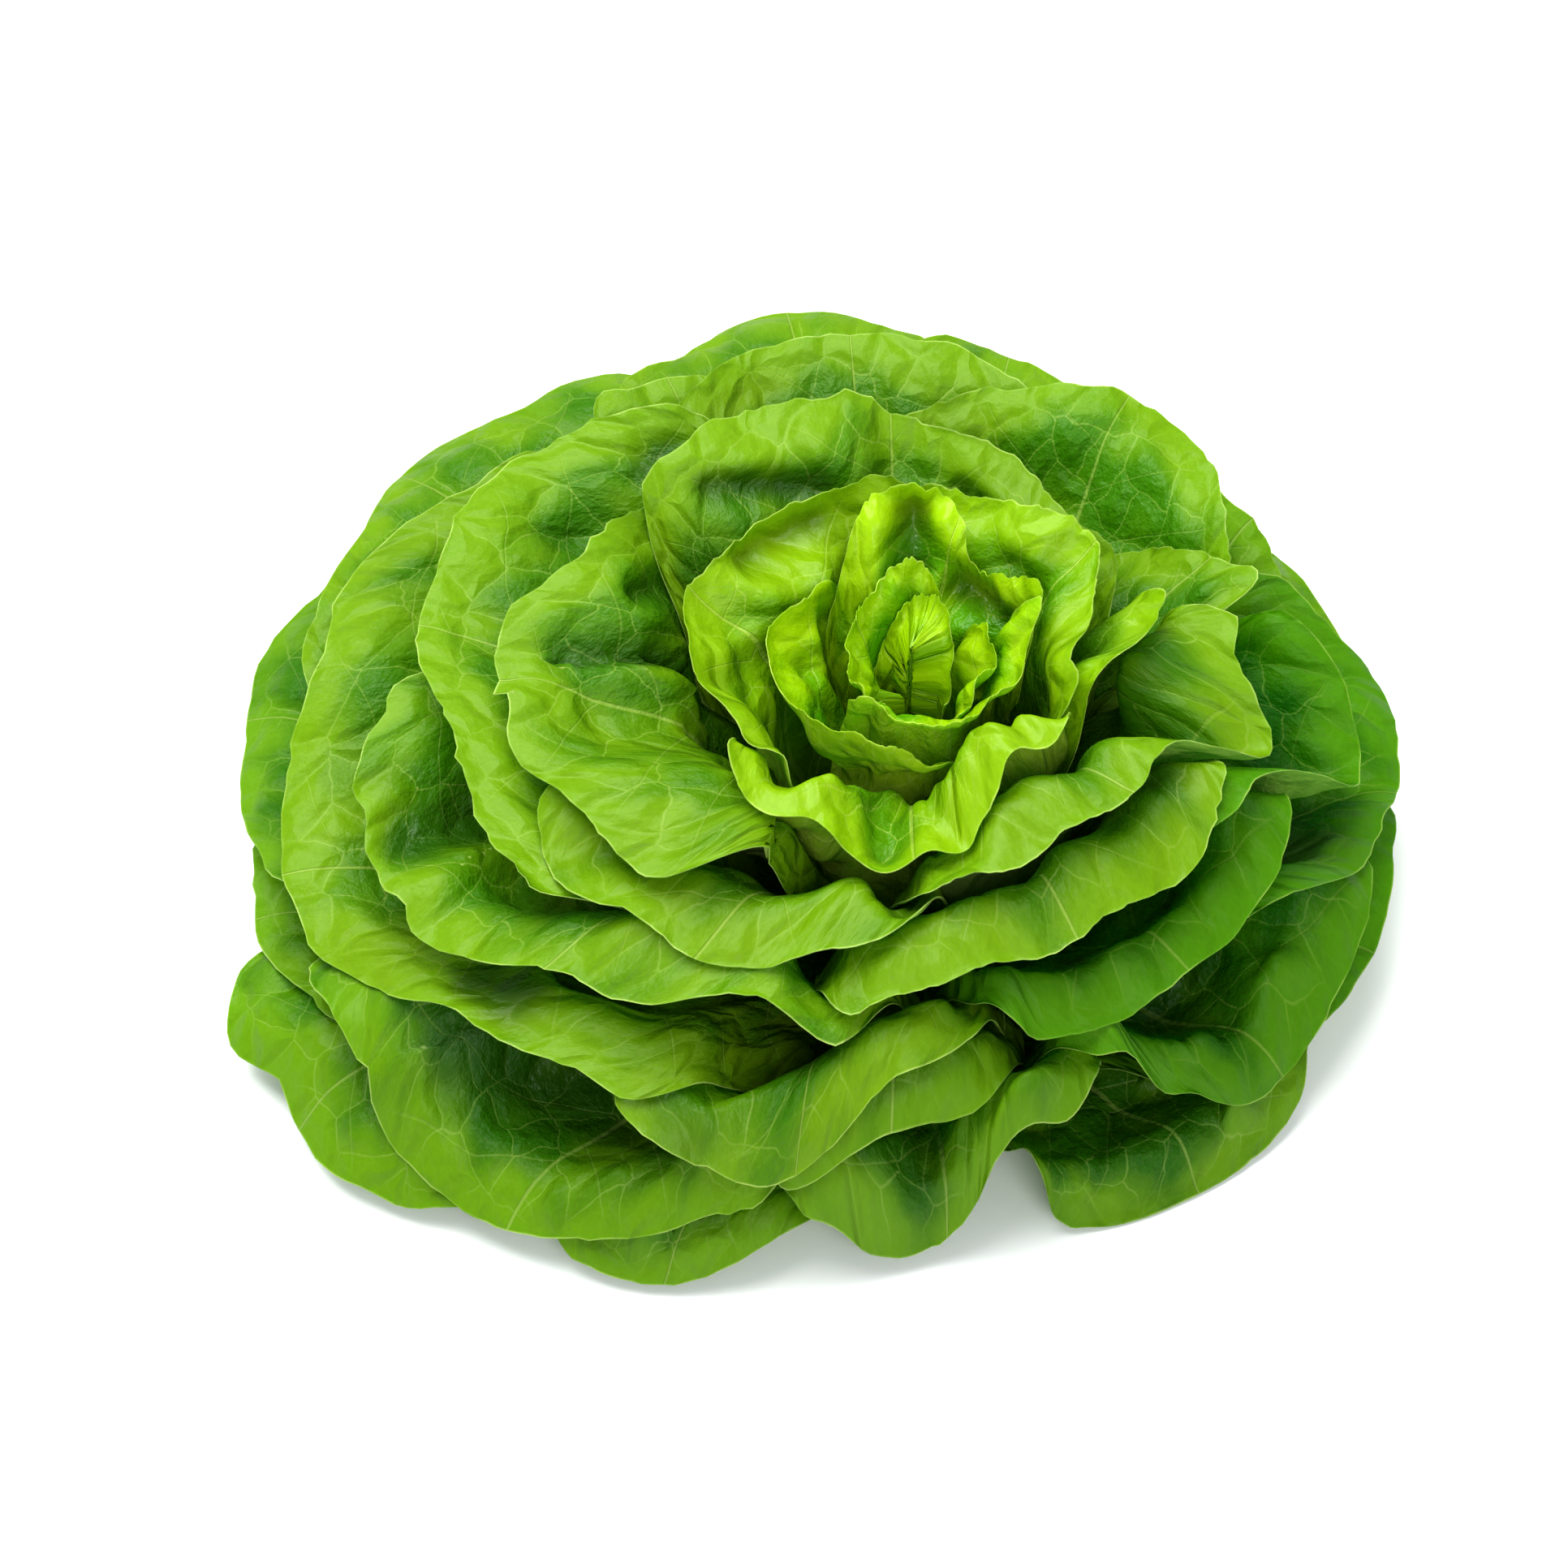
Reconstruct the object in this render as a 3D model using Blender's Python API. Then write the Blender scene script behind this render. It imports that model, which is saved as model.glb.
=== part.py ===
"""A head of butterhead lettuce, resting on the cut face of its stump.

The head is a stack of nested sheets. Every sheet leaves the stump at its own height, cups upward
round the heart and turns outward near its crest, like water from a fountain, so no two sheets ever
cross. A point of a leaf is given by its azimuth round the stump (degrees, 0 to the right, 90 to
the back), its reach along the sheet from the stump (millimetres), and the sheet it lies on (0 at
the growing tip, 100 at the foot). Leaves are laid from the heart outward, each one draped over
those already there. Lengths are millimetres until the mesh is made, in metres.
"""

import math
from dataclasses import dataclass

import bpy
import numpy as np

# The stump.
STEM_HEIGHT = 60.0  # from the cut face to the growing tip
STEM_FOOT = 17.0  # radius at the cut face
STEM_TIP = 4.0
STEM_CLEAR = 0.5  # between the stump and the line the sheets start from
STEM_SIDES = 20
STEM_RINGS = 6

# The nest of sheets.
SHEETS = 100
LONGEST = 190  # millimetres to which each sheet is followed
CREST = 126.0  # distance from the foot at which the leaves roll outward
TIP_START = 60.0  # height at which sheet 0 starts, and 100
FOOT_START = 3.0
FLATTEST = 92.0  # degrees from straight up at which the lowest sheets leave the stump
EVEN, SIDE, BACK, OVAL = 0.04, -0.15, 0.26, 0.06  # spread all round, to the right, back and both sides
LIFT = 0.20  # how far the back of the head stands above its front
FLOOR = 0.8  # lowest height of a leaf's middle surface
FLOOR_EASE = 2.5

# The blades.
BLADE = 0.8
RIB_HEART, RIB_OUTER = 0.4, 1.5  # midrib standing out from the back of the blade at its base
FOLD = 2.2  # depth of the channel along the midrib
CROWN_FRONT, CROWN_BACK = 3.0, 10.0  # how far an inner blade swells inward below its lip
CUP_FRONT, CUP_BACK = 3.0, 10.0  # how far an outer blade bellies outward
GAP = 1.86  # free space kept between one leaf and the next
BASE_REACH = 0.3
EASE = 0.5  # sheets a draped leaf may climb in one cell of the drape
CELL_REACH = 2.0


@dataclass(frozen=True)
class Leaf:
    """One leaf: where it is seated, and its margin from one flank to the other."""

    name: str
    seat: float  # azimuth of its base
    margin: tuple  # (azimuth, reach, sheet), hand picked and joined by a smooth curve
    bulges: tuple = ()  # (azimuth, reach, radius, height), height outward
    wave: float = 1.5
    fold: float = FOLD

    @property
    def base_sheet(self):
        """Sheet at which the leaf leaves the stump, a little inside the mean of its margin."""
        mean = float(np.mean([point[2] for point in self.margin]))
        return mean - 7.0 * float(ease(mean, 50.0, 90.0))


def leaf(name, seat, *margin, **more):
    return Leaf(name, seat, margin, **more)


LEAVES = (
    # The heart.
    leaf("heart_bud", 60, (-20, 38, 7), (25, 55, 9), (60, 60, 10), (95, 56, 10), (140, 40, 9), wave=0.5, fold=1),
    leaf("heart_curl", 140, (35, 46, 14), (65, 63, 16), (85, 69, 16), (105, 67, 16), (125, 63, 16), (150, 60, 16),
         (185, 57, 15), (221, 56, 13), (245, 53, 13), (264, 38, 13), wave=0.6, fold=1),
    leaf("heart_lobe", -5, (-62, 44, 20), (-40, 56, 22), (-15, 62, 24), (8, 64, 24), (28, 62, 23), (48, 46, 20),
         wave=0.8, fold=1),
    leaf("heart_right", -50, (-152, 48, 27), (-131, 68, 25), (-107, 70, 23), (-74, 71, 25), (-46, 72, 29),
         (-22, 72, 33), (-8, 73, 34), (2, 77, 34), (14, 80, 34), (30, 54, 34), wave=0.4, fold=1.5),
    leaf("heart_back", 85, (4, 54, 38), (21, 79, 38), (40, 73, 38), (58, 70, 38), (68, 79, 38), (80, 83, 38),
         (98, 83, 38), (111, 78, 38), (121, 68, 38), (136, 48, 38), wave=0.4, fold=1.5),
    leaf("heart_left", 205, (108, 48, 42), (124, 65, 42), (141, 66, 42), (158, 67, 43), (177, 66, 41),
         (198, 66, 37), (217, 66, 33), (238, 66, 30), (258, 66, 29), (278, 66, 30), (292, 64, 33), (308, 45, 35),
         wave=0.4, fold=1.5),
    # The ring round the heart.
    leaf("ring_right", 25, (-38, 50, 47), (-20, 81, 46), (-5, 83, 45), (8, 83, 47), (21, 85, 50), (33, 89, 50),
         (47, 87, 50), (68, 82, 50), (88, 79, 50), (104, 50, 50), wave=1),
    leaf("ring_left", 155, (72, 50, 52), (90, 80, 52), (108, 81, 52), (124, 81, 52), (146, 82, 52), (165, 83, 53),
         (181, 82, 51), (198, 82, 50), (215, 80, 49), (227, 75, 50), (242, 48, 50), wave=1),
    leaf("ring_front", 270, (196, 50, 54), (208, 82, 54), (216, 88, 57), (226, 88, 58), (240, 87, 58),
         (255, 88, 58), (271, 88, 60), (281, 89, 61), (291, 88, 57), (303, 88, 53), (318, 88, 50), (332, 86, 47),
         (345, 52, 48), bulges=((232, 60, 20, -22), (262, 60, 20, -20), (294, 60, 21, -22))),
    leaf("ring_outer", 8, (-30, 55, 50), (-10, 87, 51), (4, 90, 53), (12, 91, 57), (20, 90, 60), (36, 52, 60)),
    # The second round.
    leaf("second_back", 95, (22, 50, 61), (38, 80, 62), (52, 83, 62), (69, 87, 62), (83, 89, 62), (92, 91, 62),
         (100, 95, 62), (111, 95, 62), (124, 97, 62), (134, 96, 62), (143, 90, 62), (156, 52, 62)),
    leaf("second_left", 185, (110, 46, 62), (124, 81, 63), (132, 86, 63), (142, 91, 63), (152, 95, 63),
         (162, 98, 63), (169, 101, 65), (177, 101, 67), (186, 101, 67), (200, 100, 66), (212, 100, 66),
         (221, 100, 66), (228, 98, 64), (235, 86, 62), (244, 52, 62),
         bulges=((206, 66, 24, -10), (186, 80, 12, 4))),
    leaf("second_right", 330, (258, 50, 62), (272, 92, 61), (285, 98, 60), (298, 98, 59), (312, 98, 59),
         (327, 98, 59), (340, 98, 61), (347, 98, 66), (352, 100, 71), (357, 100, 71), (362, 98, 69),
         (368, 97, 67), (374, 98, 66), (380, 86, 64), (388, 46, 64)),
    leaf("second_front", 240, (180, 50, 66), (195, 93, 67), (203, 98, 69), (212, 101, 70), (224, 101, 69),
         (236, 101, 69), (245, 100, 69), (254, 99, 66), (264, 98, 64), (272, 94, 63), (279, 80, 62), (286, 50, 61)),
    # The third round.
    leaf("third_right", 35, (4, 46, 66), (17, 86, 68), (22, 98, 70), (25, 101, 70), (28, 97, 70), (33, 92, 70),
         (40, 86, 70), (47, 78, 70), (56, 66, 70), (68, 42, 70)),
    leaf("third_left", 160, (102, 50, 70), (117, 92, 71), (129, 101, 72), (140, 103, 73), (150, 106, 73),
         (160, 104, 73), (170, 103, 72), (182, 102, 71), (194, 102, 70), (204, 103, 70), (212, 100, 70),
         (226, 52, 69)),
    leaf("third_front_right", 305, (246, 52, 71), (253, 92, 71), (259, 104, 72), (267, 104, 69), (277, 104, 69),
         (290, 104, 70), (303, 104, 69), (318, 104, 69), (332, 104, 68), (340, 103, 66), (346, 96, 64),
         (358, 48, 63)),
    leaf("third_back_right", 60, (18, 48, 73), (30, 88, 73), (37, 97, 74), (44, 103, 74), (52, 105, 74),
         (59, 106, 74), (66, 103, 74), (74, 98, 74), (84, 93, 74), (95, 80, 74), (106, 48, 74)),
    leaf("third_back", 96, (56, 48, 76), (69, 92, 76), (77, 101, 76), (86, 105, 76), (96, 105, 76), (106, 104, 76),
         (115, 99, 76), (124, 90, 76), (138, 50, 76)),
    leaf("third_front_left", 215, (154, 50, 74), (167, 94, 75), (176, 103, 76), (184, 106, 77), (192, 106, 78),
         (200, 106, 78), (208, 106, 77), (216, 106, 75), (224, 106, 73), (234, 106, 71), (245, 106, 70),
         (253, 106, 72), (259, 104, 73), (267, 85, 73), (276, 48, 73),
         bulges=((193, 84, 16, 7), (214, 88, 14, -4))),
    # The fourth round.
    leaf("fourth_back_left", 118, (94, 50, 77), (104, 96, 77), (112, 101, 77), (119, 103, 77), (127, 100, 77),
         (140, 52, 77)),
    leaf("fourth_right", -5, (-44, 52, 68), (-32, 94, 68), (-22, 104, 68), (-15, 104, 69), (-9, 104, 72),
         (-4, 104, 76), (1, 105, 80), (6, 105, 81), (11, 104, 80), (16, 104, 78), (21, 101, 76), (27, 90, 75),
         (38, 48, 74)),
    leaf("fourth_front_right", 318, (274, 50, 72), (283, 90, 73), (288, 104, 75), (292, 107, 77), (302, 106, 77),
         (315, 106, 77), (328, 106, 76), (338, 106, 75), (345, 106, 73), (349, 103, 71), (355, 90, 70),
         (364, 48, 70)),
    leaf("fourth_left", 182, (114, 50, 80), (127, 97, 81), (138, 103, 81), (148, 107, 81), (156, 109, 81),
         (164, 108, 81), (173, 108, 82), (182, 109, 83), (191, 109, 84), (199, 108, 82), (208, 107, 80),
         (217, 107, 80), (226, 107, 79), (235, 106, 80), (243, 82, 80), (254, 50, 80)),
    # The fifth round.
    leaf("fifth_front", 250, (220, 50, 76), (226, 86, 76), (230, 106, 77), (235, 113, 79), (240, 115, 81),
         (246, 115, 82), (251, 115, 81), (257, 115, 78), (264, 113, 76), (273, 108, 76), (284, 92, 76),
         (296, 50, 76), fold=6),
    leaf("fifth_back_right", 77, (54, 48, 79), (65, 98, 79), (73, 106, 79), (80, 109, 79), (88, 106, 79),
         (102, 52, 79)),
    leaf("fifth_back", 102, (70, 48, 80), (83, 103, 80), (91, 112, 80), (98, 117, 80), (105, 116, 80),
         (112, 109, 80), (121, 102, 80), (134, 52, 80)),
    leaf("fifth_back_left", 140, (98, 50, 81), (111, 100, 82), (120, 113, 82), (127, 113, 82), (133, 117, 82),
         (140, 116, 82), (147, 112, 82), (155, 111, 82), (162, 108, 83), (169, 95, 84), (182, 52, 84)),
    leaf("fifth_right", 8, (-40, 50, 78), (-29, 90, 78), (-22, 106, 78), (-16, 108, 80), (-9, 108, 82),
         (-2, 108, 83), (5, 108, 84), (12, 110, 86), (20, 112, 86), (28, 110, 86), (36, 106, 86), (45, 97, 85),
         (58, 48, 84)),
    # The sixth round.
    leaf("sixth_front", 268, (243, 50, 82), (248, 92, 82), (252, 112, 82), (258, 116, 81), (267, 116, 80),
         (276, 113, 80), (287, 96, 80), (300, 50, 80)),
    leaf("sixth_front_right", 325, (288, 52, 79), (297, 95, 79), (303, 113, 79), (308, 114, 83), (315, 114, 86),
         (322, 115, 89), (329, 115, 89), (337, 114, 88), (345, 114, 84), (352, 112, 81), (360, 98, 80),
         (372, 48, 80)),
    leaf("sixth_back_right", 50, (21, 48, 84), (36, 96, 84), (44, 106, 84), (50, 108, 84), (59, 103, 84),
         (74, 50, 84)),
    leaf("sixth_left", 160, (130, 50, 85), (143, 103, 86), (150, 114, 88), (156, 117, 88), (163, 114, 88),
         (170, 112, 87), (177, 111, 86), (185, 104, 85), (196, 52, 85)),
    leaf("sixth_front_left", 221, (182, 50, 82), (192, 106, 82), (200, 116, 82), (206, 117, 84), (211, 118, 88),
         (217, 118, 91), (223, 119, 93), (229, 119, 92), (236, 118, 88), (244, 117, 84), (251, 114, 83),
         (255, 86, 84), (258, 46, 84)),
    # The outermost leaves, spread over whatever the head stands on.
    leaf("outer_front", 275, (244, 50, 86), (250, 92, 87), (255, 117, 86), (260, 121, 85), (266, 122, 88),
         (272, 122, 90), (278, 122, 88), (283, 121, 83), (289, 119, 80), (297, 114, 82), (304, 95, 82),
         (313, 50, 81)),
    leaf("outer_left", 182, (152, 50, 90), (165, 97, 91), (174, 108, 92), (180, 110, 92), (186, 111, 92),
         (192, 108, 91), (200, 102, 90), (212, 52, 90)),
    leaf("outer_right", -12, (-48, 50, 88), (-36, 96, 88), (-25, 108, 89), (-12, 111, 90), (2, 110, 90),
         (14, 102, 90), (28, 50, 90)),
    leaf("outer_back_right", 45, (8, 50, 91), (22, 100, 91), (36, 110, 91), (50, 112, 91), (64, 108, 91),
         (78, 98, 91), (92, 50, 91)),
    leaf("outer_back", 95, (60, 50, 89), (72, 100, 89), (86, 112, 89), (98, 115, 89), (110, 112, 89),
         (120, 100, 88), (129, 50, 88)),
    leaf("outer_back_left", 146, (113, 50, 91), (120, 99, 91), (128, 112, 92), (142, 113, 92), (155, 106, 92),
         (170, 50, 92)),
    leaf("ground_front_right", 315, (284, 50, 88), (289, 84, 90), (291, 106, 92), (293, 122, 94), (298, 135, 95),
         (305, 141, 95), (312, 138, 95), (321, 131, 95), (330, 121, 95), (337, 107, 94), (345, 92, 92),
         (358, 48, 90)),
    leaf("ground_left", 198, (174, 50, 92), (183, 100, 93), (188, 118, 94), (193, 126, 94), (198, 121, 94),
         (203, 126, 94), (208, 129, 94), (214, 123, 94), (220, 112, 94), (226, 84, 93), (233, 48, 92)),
    leaf("ground_front", 243, (219, 48, 94), (224, 88, 94), (228, 113, 95), (233, 122, 96), (239, 125, 96),
         (246, 122, 96), (252, 114, 96), (257, 100, 95), (261, 80, 94), (267, 48, 93)),
)

COLUMNS_WIDE, COLUMNS_NARROW = 13, 9
ROWS_WIDE, ROWS_NARROW = 8, 7
WIDE = 150.0  # length of margin over which a leaf takes the finer grid
FINER = 4


def ease(x, low, high):
    """0 below low, 1 above high, and a smooth step between."""
    t = np.clip((x - low) / (high - low), 0.0, 1.0)
    return t * t * (3.0 - 2.0 * t)


def stem_radius(z):
    t = np.clip(np.asarray(z, float) / STEM_HEIGHT, 0.0, 1.0)
    return STEM_FOOT + (STEM_TIP - STEM_FOOT) * t**1.3


def heading(radius, height):
    """Angle from straight up, in radians, at which a sheet passes this point."""
    far = np.hypot(radius, height) / CREST
    out = np.arctan2(radius, np.maximum(height, -20.0))
    cup = 1.40 - 0.62 * ease(far, 0.15, 0.80)
    lip = math.radians(78) * ease(far, 0.86, 1.06) * np.sqrt(np.sin(np.minimum(out, math.pi / 2)))
    return np.minimum(out * cup, math.radians(FLATTEST)) + lip


def sheet_paths():
    """Radius and height along every sheet, one column for each millimetre of reach."""
    start = np.linspace(0.0, 1.0, SHEETS + 1)
    z = TIP_START + (FOOT_START - TIP_START) * start
    r = stem_radius(z)
    r[0] = 0.6
    radii, heights = [r], [z]
    for _ in range(LONGEST):
        angle = heading(r, z)
        angle = heading(r + 0.5 * np.sin(angle), z + 0.5 * np.cos(angle))
        r, z = r + np.sin(angle), z + np.cos(angle)
        radii.append(r)
        heights.append(z)
    return np.array(radii).T, np.array(heights).T


SHEET_RADIUS, SHEET_HEIGHT = sheet_paths()


def between(table, row, column):
    """Bilinear reading of a table at fractional rows and columns."""
    row = np.clip(row, 0.0, table.shape[0] - 1.001)
    column = np.clip(column, 0.0, table.shape[1] - 1.001)
    i, j = row.astype(int), column.astype(int)
    a, b = row - i, column - j
    near = (1 - b) * table[i, j] + b * table[i, j + 1]
    far = (1 - b) * table[i + 1, j] + b * table[i + 1, j + 1]
    return (1 - a) * near + a * far


def place(azimuth, reach, sheet):
    """Point in space, in millimetres, of each azimuth, reach and sheet."""
    azimuth, reach, sheet = np.broadcast_arrays(*(np.asarray(v, float) for v in (azimuth, reach, sheet)))
    turn = np.radians(azimuth)
    r = between(SHEET_RADIUS, sheet, reach)
    z = between(SHEET_HEIGHT, sheet, reach)
    z = z * (1 + LIFT * np.sin(turn) * r / 120.0)
    z = FLOOR + FLOOR_EASE * np.logaddexp(0.0, z / FLOOR_EASE)
    spread = EVEN + SIDE * np.cos(turn) + BACK * np.sin(turn) + OVAL * np.cos(2 * turn)
    r = r * (1 + spread * ease(r, 8.0, 28.0) * r / 120.0)
    return np.stack([r * np.cos(turn), r * np.sin(turn), z], -1)


def spacing(azimuth, reach, sheet):
    """Millimetres, square to the surface, from this sheet to the next one out."""
    along = place(azimuth, reach + 0.5, sheet) - place(azimuth, reach - 0.5, sheet)
    across = place(azimuth, reach, sheet + 0.5) - place(azimuth, reach, sheet - 0.5)
    along = along / np.maximum(np.linalg.norm(along, axis=-1, keepdims=True), 1e-6)
    rest = across - (across * along).sum(-1, keepdims=True) * along
    return np.maximum(np.linalg.norm(rest, axis=-1), 0.12)


def smooth_curve(points, count):
    """Catmull-Rom curve through the points, read at evenly spaced lengths."""
    p = np.array(points, float)
    p = np.vstack([2 * p[0] - p[1], p, 2 * p[-1] - p[-2]])
    fine = []
    for k in range(1, len(p) - 2):
        t = np.linspace(0.0, 1.0, 24, endpoint=False)[:, None]
        a, b, c, d = p[k - 1], p[k], p[k + 1], p[k + 2]
        fine.append(0.5 * (2 * b + (c - a) * t + (2 * a - 5 * b + 4 * c - d) * t**2 + (3 * b - a - 3 * c + d) * t**3))
    fine = np.vstack([*fine, p[-2:-1]])
    steps = np.linalg.norm(np.diff(fine * (1.5, 1.0, 0.0), axis=0), axis=1)
    length = np.concatenate([[0.0], np.cumsum(steps)])
    want = np.asarray(count) * length[-1]
    return np.stack([np.interp(want, length, fine[:, k]) for k in range(3)], -1), length[-1]


class Drape:
    """The outermost sheet reached so far, over azimuth in degrees and reach in cells."""

    def __init__(self):
        self.top = np.full((360, int(LONGEST / CELL_REACH)), -60.0)

    def over(self, azimuth, reach):
        wrapped = np.vstack([self.top, self.top[:1]])
        return between(wrapped, np.mod(azimuth, 360.0), reach / CELL_REACH)

    def add(self, azimuth, reach, sheet):
        i = np.mod(np.rint(azimuth).astype(int), 360)
        j = np.clip(np.rint(reach / CELL_REACH).astype(int), 0, self.top.shape[1] - 1)
        np.maximum.at(self.top, (i, j), sheet)
        for _ in range(14):
            sides = np.maximum(np.roll(self.top, 1, 0), np.roll(self.top, -1, 0))
            ends = np.full_like(self.top, -60.0)
            ends[:, 1:] = self.top[:, :-1]
            ends[:, :-1] = np.maximum(ends[:, :-1], self.top[:, 1:])
            self.top = np.maximum(self.top, np.maximum(sides, ends) - EASE)


def leaf_field(item, across, along):
    """Azimuth, reach and wished sheet over a grid: across runs -1 to 1, along 0 to 1."""
    curve, length = smooth_curve(item.margin, (across + 1) / 2)
    azimuth_rim, reach_rim, sheet_rim = curve.T
    base_sheet = item.base_sheet
    clasp = 46.0 - 0.2 * base_sheet
    u, v = np.meshgrid(across, along, indexing="ij")
    azimuth_base = item.seat + clasp * u
    azimuth = azimuth_base + (azimuth_rim[:, None] - azimuth_base) * v**0.75
    reach = BASE_REACH + (reach_rim[:, None] - BASE_REACH) * v
    sheet = base_sheet + (sheet_rim[:, None] - base_sheet) * ease(v, 0.15, 1.0)
    gap = spacing(azimuth, reach, sheet)
    push = item.fold * np.exp(-((u / 0.16) ** 2)) * ease(v, 0.0, 0.25) * (1 - 0.6 * v)
    back = ease(np.sin(np.radians(azimuth)), -0.7, 0.8)
    outer = ease(base_sheet, 64.0, 72.0)
    crown = (CROWN_FRONT + (CROWN_BACK - CROWN_FRONT) * back) * (0.45 + 0.55 * ease(base_sheet, 20.0, 55.0))
    crown = crown * (1 - u**4) * ease(v, 0.30, 0.75) * (1 - ease(v, 0.72, 1.0))
    belly = (CUP_FRONT + (CUP_BACK - CUP_FRONT) * back) * (1 - ease(base_sheet, 78.0, 92.0))
    belly = belly * (1 - 0.6 * u**2) * np.sin(math.pi * v**1.15) ** 1.3
    push = push + outer * belly - (1 - outer) * crown
    phase = item.seat * 0.37 + base_sheet
    count = max(2.0, round(length / 42.0))
    push = push + item.wave * v**3 * np.sin(math.pi * count * u + phase)
    push = push + 0.7 * item.wave * ease(v, 0.1, 0.6) * np.sin(2.3 * math.pi * u + 4.0 * v + 1.7 * phase)
    for centre, out, radius, height in item.bulges:
        width = (azimuth - centre) * math.pi / 180.0 * 75.0
        push = push + height * np.exp(-(width**2 + (reach - out) ** 2) / radius**2)
    return azimuth, reach, sheet + push / gap


def rib_of(item, u, v):
    """How far the midrib stands out from the back of the blade."""
    sheet = item.base_sheet
    base = RIB_HEART + (RIB_OUTER - RIB_HEART) * ease(sheet, 35.0, 75.0)
    return base * np.exp(-((u / 0.11) ** 2)) * (1 - v) ** 1.2


def refined(grid):
    """A grid read at FINER points for each of its steps, straight between them."""
    for _ in range(2):
        index = np.linspace(0, len(grid) - 1, (len(grid) - 1) * FINER + 1)
        low = np.minimum(index.astype(int), len(grid) - 2)
        part = (index - low)[:, None]
        grid = ((1 - part) * grid[low] + part * grid[low + 1]).T
    return grid


def drape_leaf(drape, item):
    """Azimuth, reach and sheet of the leaf's grid, clear of every leaf already laid."""
    across, along = columns_of(item)
    azimuth, reach, sheet = leaf_field(item, across, along)
    fine_azimuth, fine_reach = refined(azimuth), refined(reach)
    floor = drape.over(fine_azimuth, fine_reach)
    for _ in range(5):
        fine = refined(sheet)
        short = floor + (BLADE + GAP) / spacing(fine_azimuth, fine_reach, fine) - fine
        short = np.pad(np.maximum(short, 0.0), FINER)
        rise = np.zeros_like(sheet)
        rows, cols = ((n - 1) * FINER + 1 for n in sheet.shape)
        for i in range(1 - FINER, FINER):
            for j in range(1 - FINER, FINER):
                weight = (1 - abs(i) / FINER) * (1 - abs(j) / FINER)
                seen = short[FINER + i : FINER + i + rows : FINER, FINER + j : FINER + j + cols : FINER]
                rise = np.maximum(rise, weight * seen)
        sheet = sheet + rise
    return azimuth, reach, sheet


def settle(drape, item, azimuth, reach, sheet):
    """Marks the leaf in the drape, out to the back of its blade and midrib."""
    across, along = columns_of(item)
    u, v = np.meshgrid(across, along, indexing="ij")
    back = sheet + rib_of(item, u, v) / spacing(azimuth, reach, sheet)
    azimuth, reach, back = (refined(refined(grid)) for grid in (azimuth, reach, back))
    drape.add(azimuth, reach, back)


def columns_of(item):
    _, length = smooth_curve(item.margin, np.linspace(0, 1, 5))
    wide = length > WIDE
    count = COLUMNS_WIDE if wide else COLUMNS_NARROW
    even = np.linspace(-1, 1, count)
    across = np.sign(even) * np.abs(even) ** 1.35
    along = np.linspace(0, 1, ROWS_WIDE if wide else ROWS_NARROW) ** 0.9
    return across, along


def blade_solid(middle, inward, outward):
    """Closed triangle mesh of a blade from its middle surface and the depth to either face."""
    du = np.gradient(middle, axis=0)
    dv = np.gradient(middle, axis=1)
    normal = np.cross(dv, du)
    normal /= np.maximum(np.linalg.norm(normal, axis=-1, keepdims=True), 1e-9)
    rows, cols = middle.shape[:2]
    points = np.concatenate([
        (middle + normal * inward[..., None]).reshape(-1, 3),
        (middle - normal * outward[..., None]).reshape(-1, 3),
    ])
    faces = []
    size = rows * cols
    for i in range(rows - 1):
        for j in range(cols - 1):
            a, b = i * cols + j, (i + 1) * cols + j
            c, d = b + 1, a + 1
            halves = ((a, b, c), (a, c, d)) if (i < rows // 2) else ((a, b, d), (b, c, d))
            for one, two, three in halves:
                faces.append((one, three, two))
                faces.append((one + size, two + size, three + size))
    ring = [i * cols for i in range(rows)]
    ring += [(rows - 1) * cols + j for j in range(1, cols)]
    ring += [i * cols + cols - 1 for i in range(rows - 2, -1, -1)]
    ring += list(range(cols - 2, 0, -1))
    for one, two in zip(ring, ring[1:] + ring[:1]):
        faces.append((one, two, two + size))
        faces.append((one, two + size, one + size))
    return points, np.array(faces)


def leaf_mesh(item, azimuth, reach, sheet):
    u, v = np.meshgrid(*columns_of(item), indexing="ij")
    inward = np.full(u.shape, BLADE / 2)
    return blade_solid(place(azimuth, reach, sheet), inward, inward + rib_of(item, u, v))


def stem_mesh():
    """The stump: a cone with a domed tip and a flat cut face at height 0."""
    rings = []
    for k in range(STEM_RINGS + 1):
        z = STEM_HEIGHT * k / STEM_RINGS
        rings.append((stem_radius(z) - STEM_CLEAR, z))
    turn = np.radians(np.arange(STEM_SIDES) * 360.0 / STEM_SIDES)
    points = [np.stack([r * np.cos(turn), r * np.sin(turn), np.full(STEM_SIDES, z)], -1) for r, z in rings]
    points = np.vstack([*points, [[0, 0, 0], [0, 0, STEM_HEIGHT + 1.5]]])
    foot, tip = len(points) - 2, len(points) - 1
    faces = []
    for k in range(STEM_SIDES):
        n = (k + 1) % STEM_SIDES
        for ring in range(STEM_RINGS):
            a, b = ring * STEM_SIDES + k, ring * STEM_SIDES + n
            faces += [(a, b, b + STEM_SIDES), (a, b + STEM_SIDES, a + STEM_SIDES)]
        faces.append((foot, n, k))
        top = STEM_RINGS * STEM_SIDES
        faces.append((top + k, top + n, tip))
    return points, np.array(faces)


def add_object(name, points, faces, material):
    mesh = bpy.data.meshes.new(name)
    mesh.from_pydata((np.asarray(points) / 1000.0).tolist(), [], np.asarray(faces).tolist())
    mesh.materials.append(material)
    mesh.polygons.foreach_set("use_smooth", [True] * len(mesh.polygons))
    mesh.update()
    made = bpy.data.objects.new(name, mesh)
    bpy.context.scene.collection.objects.link(made)
    return made


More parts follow.
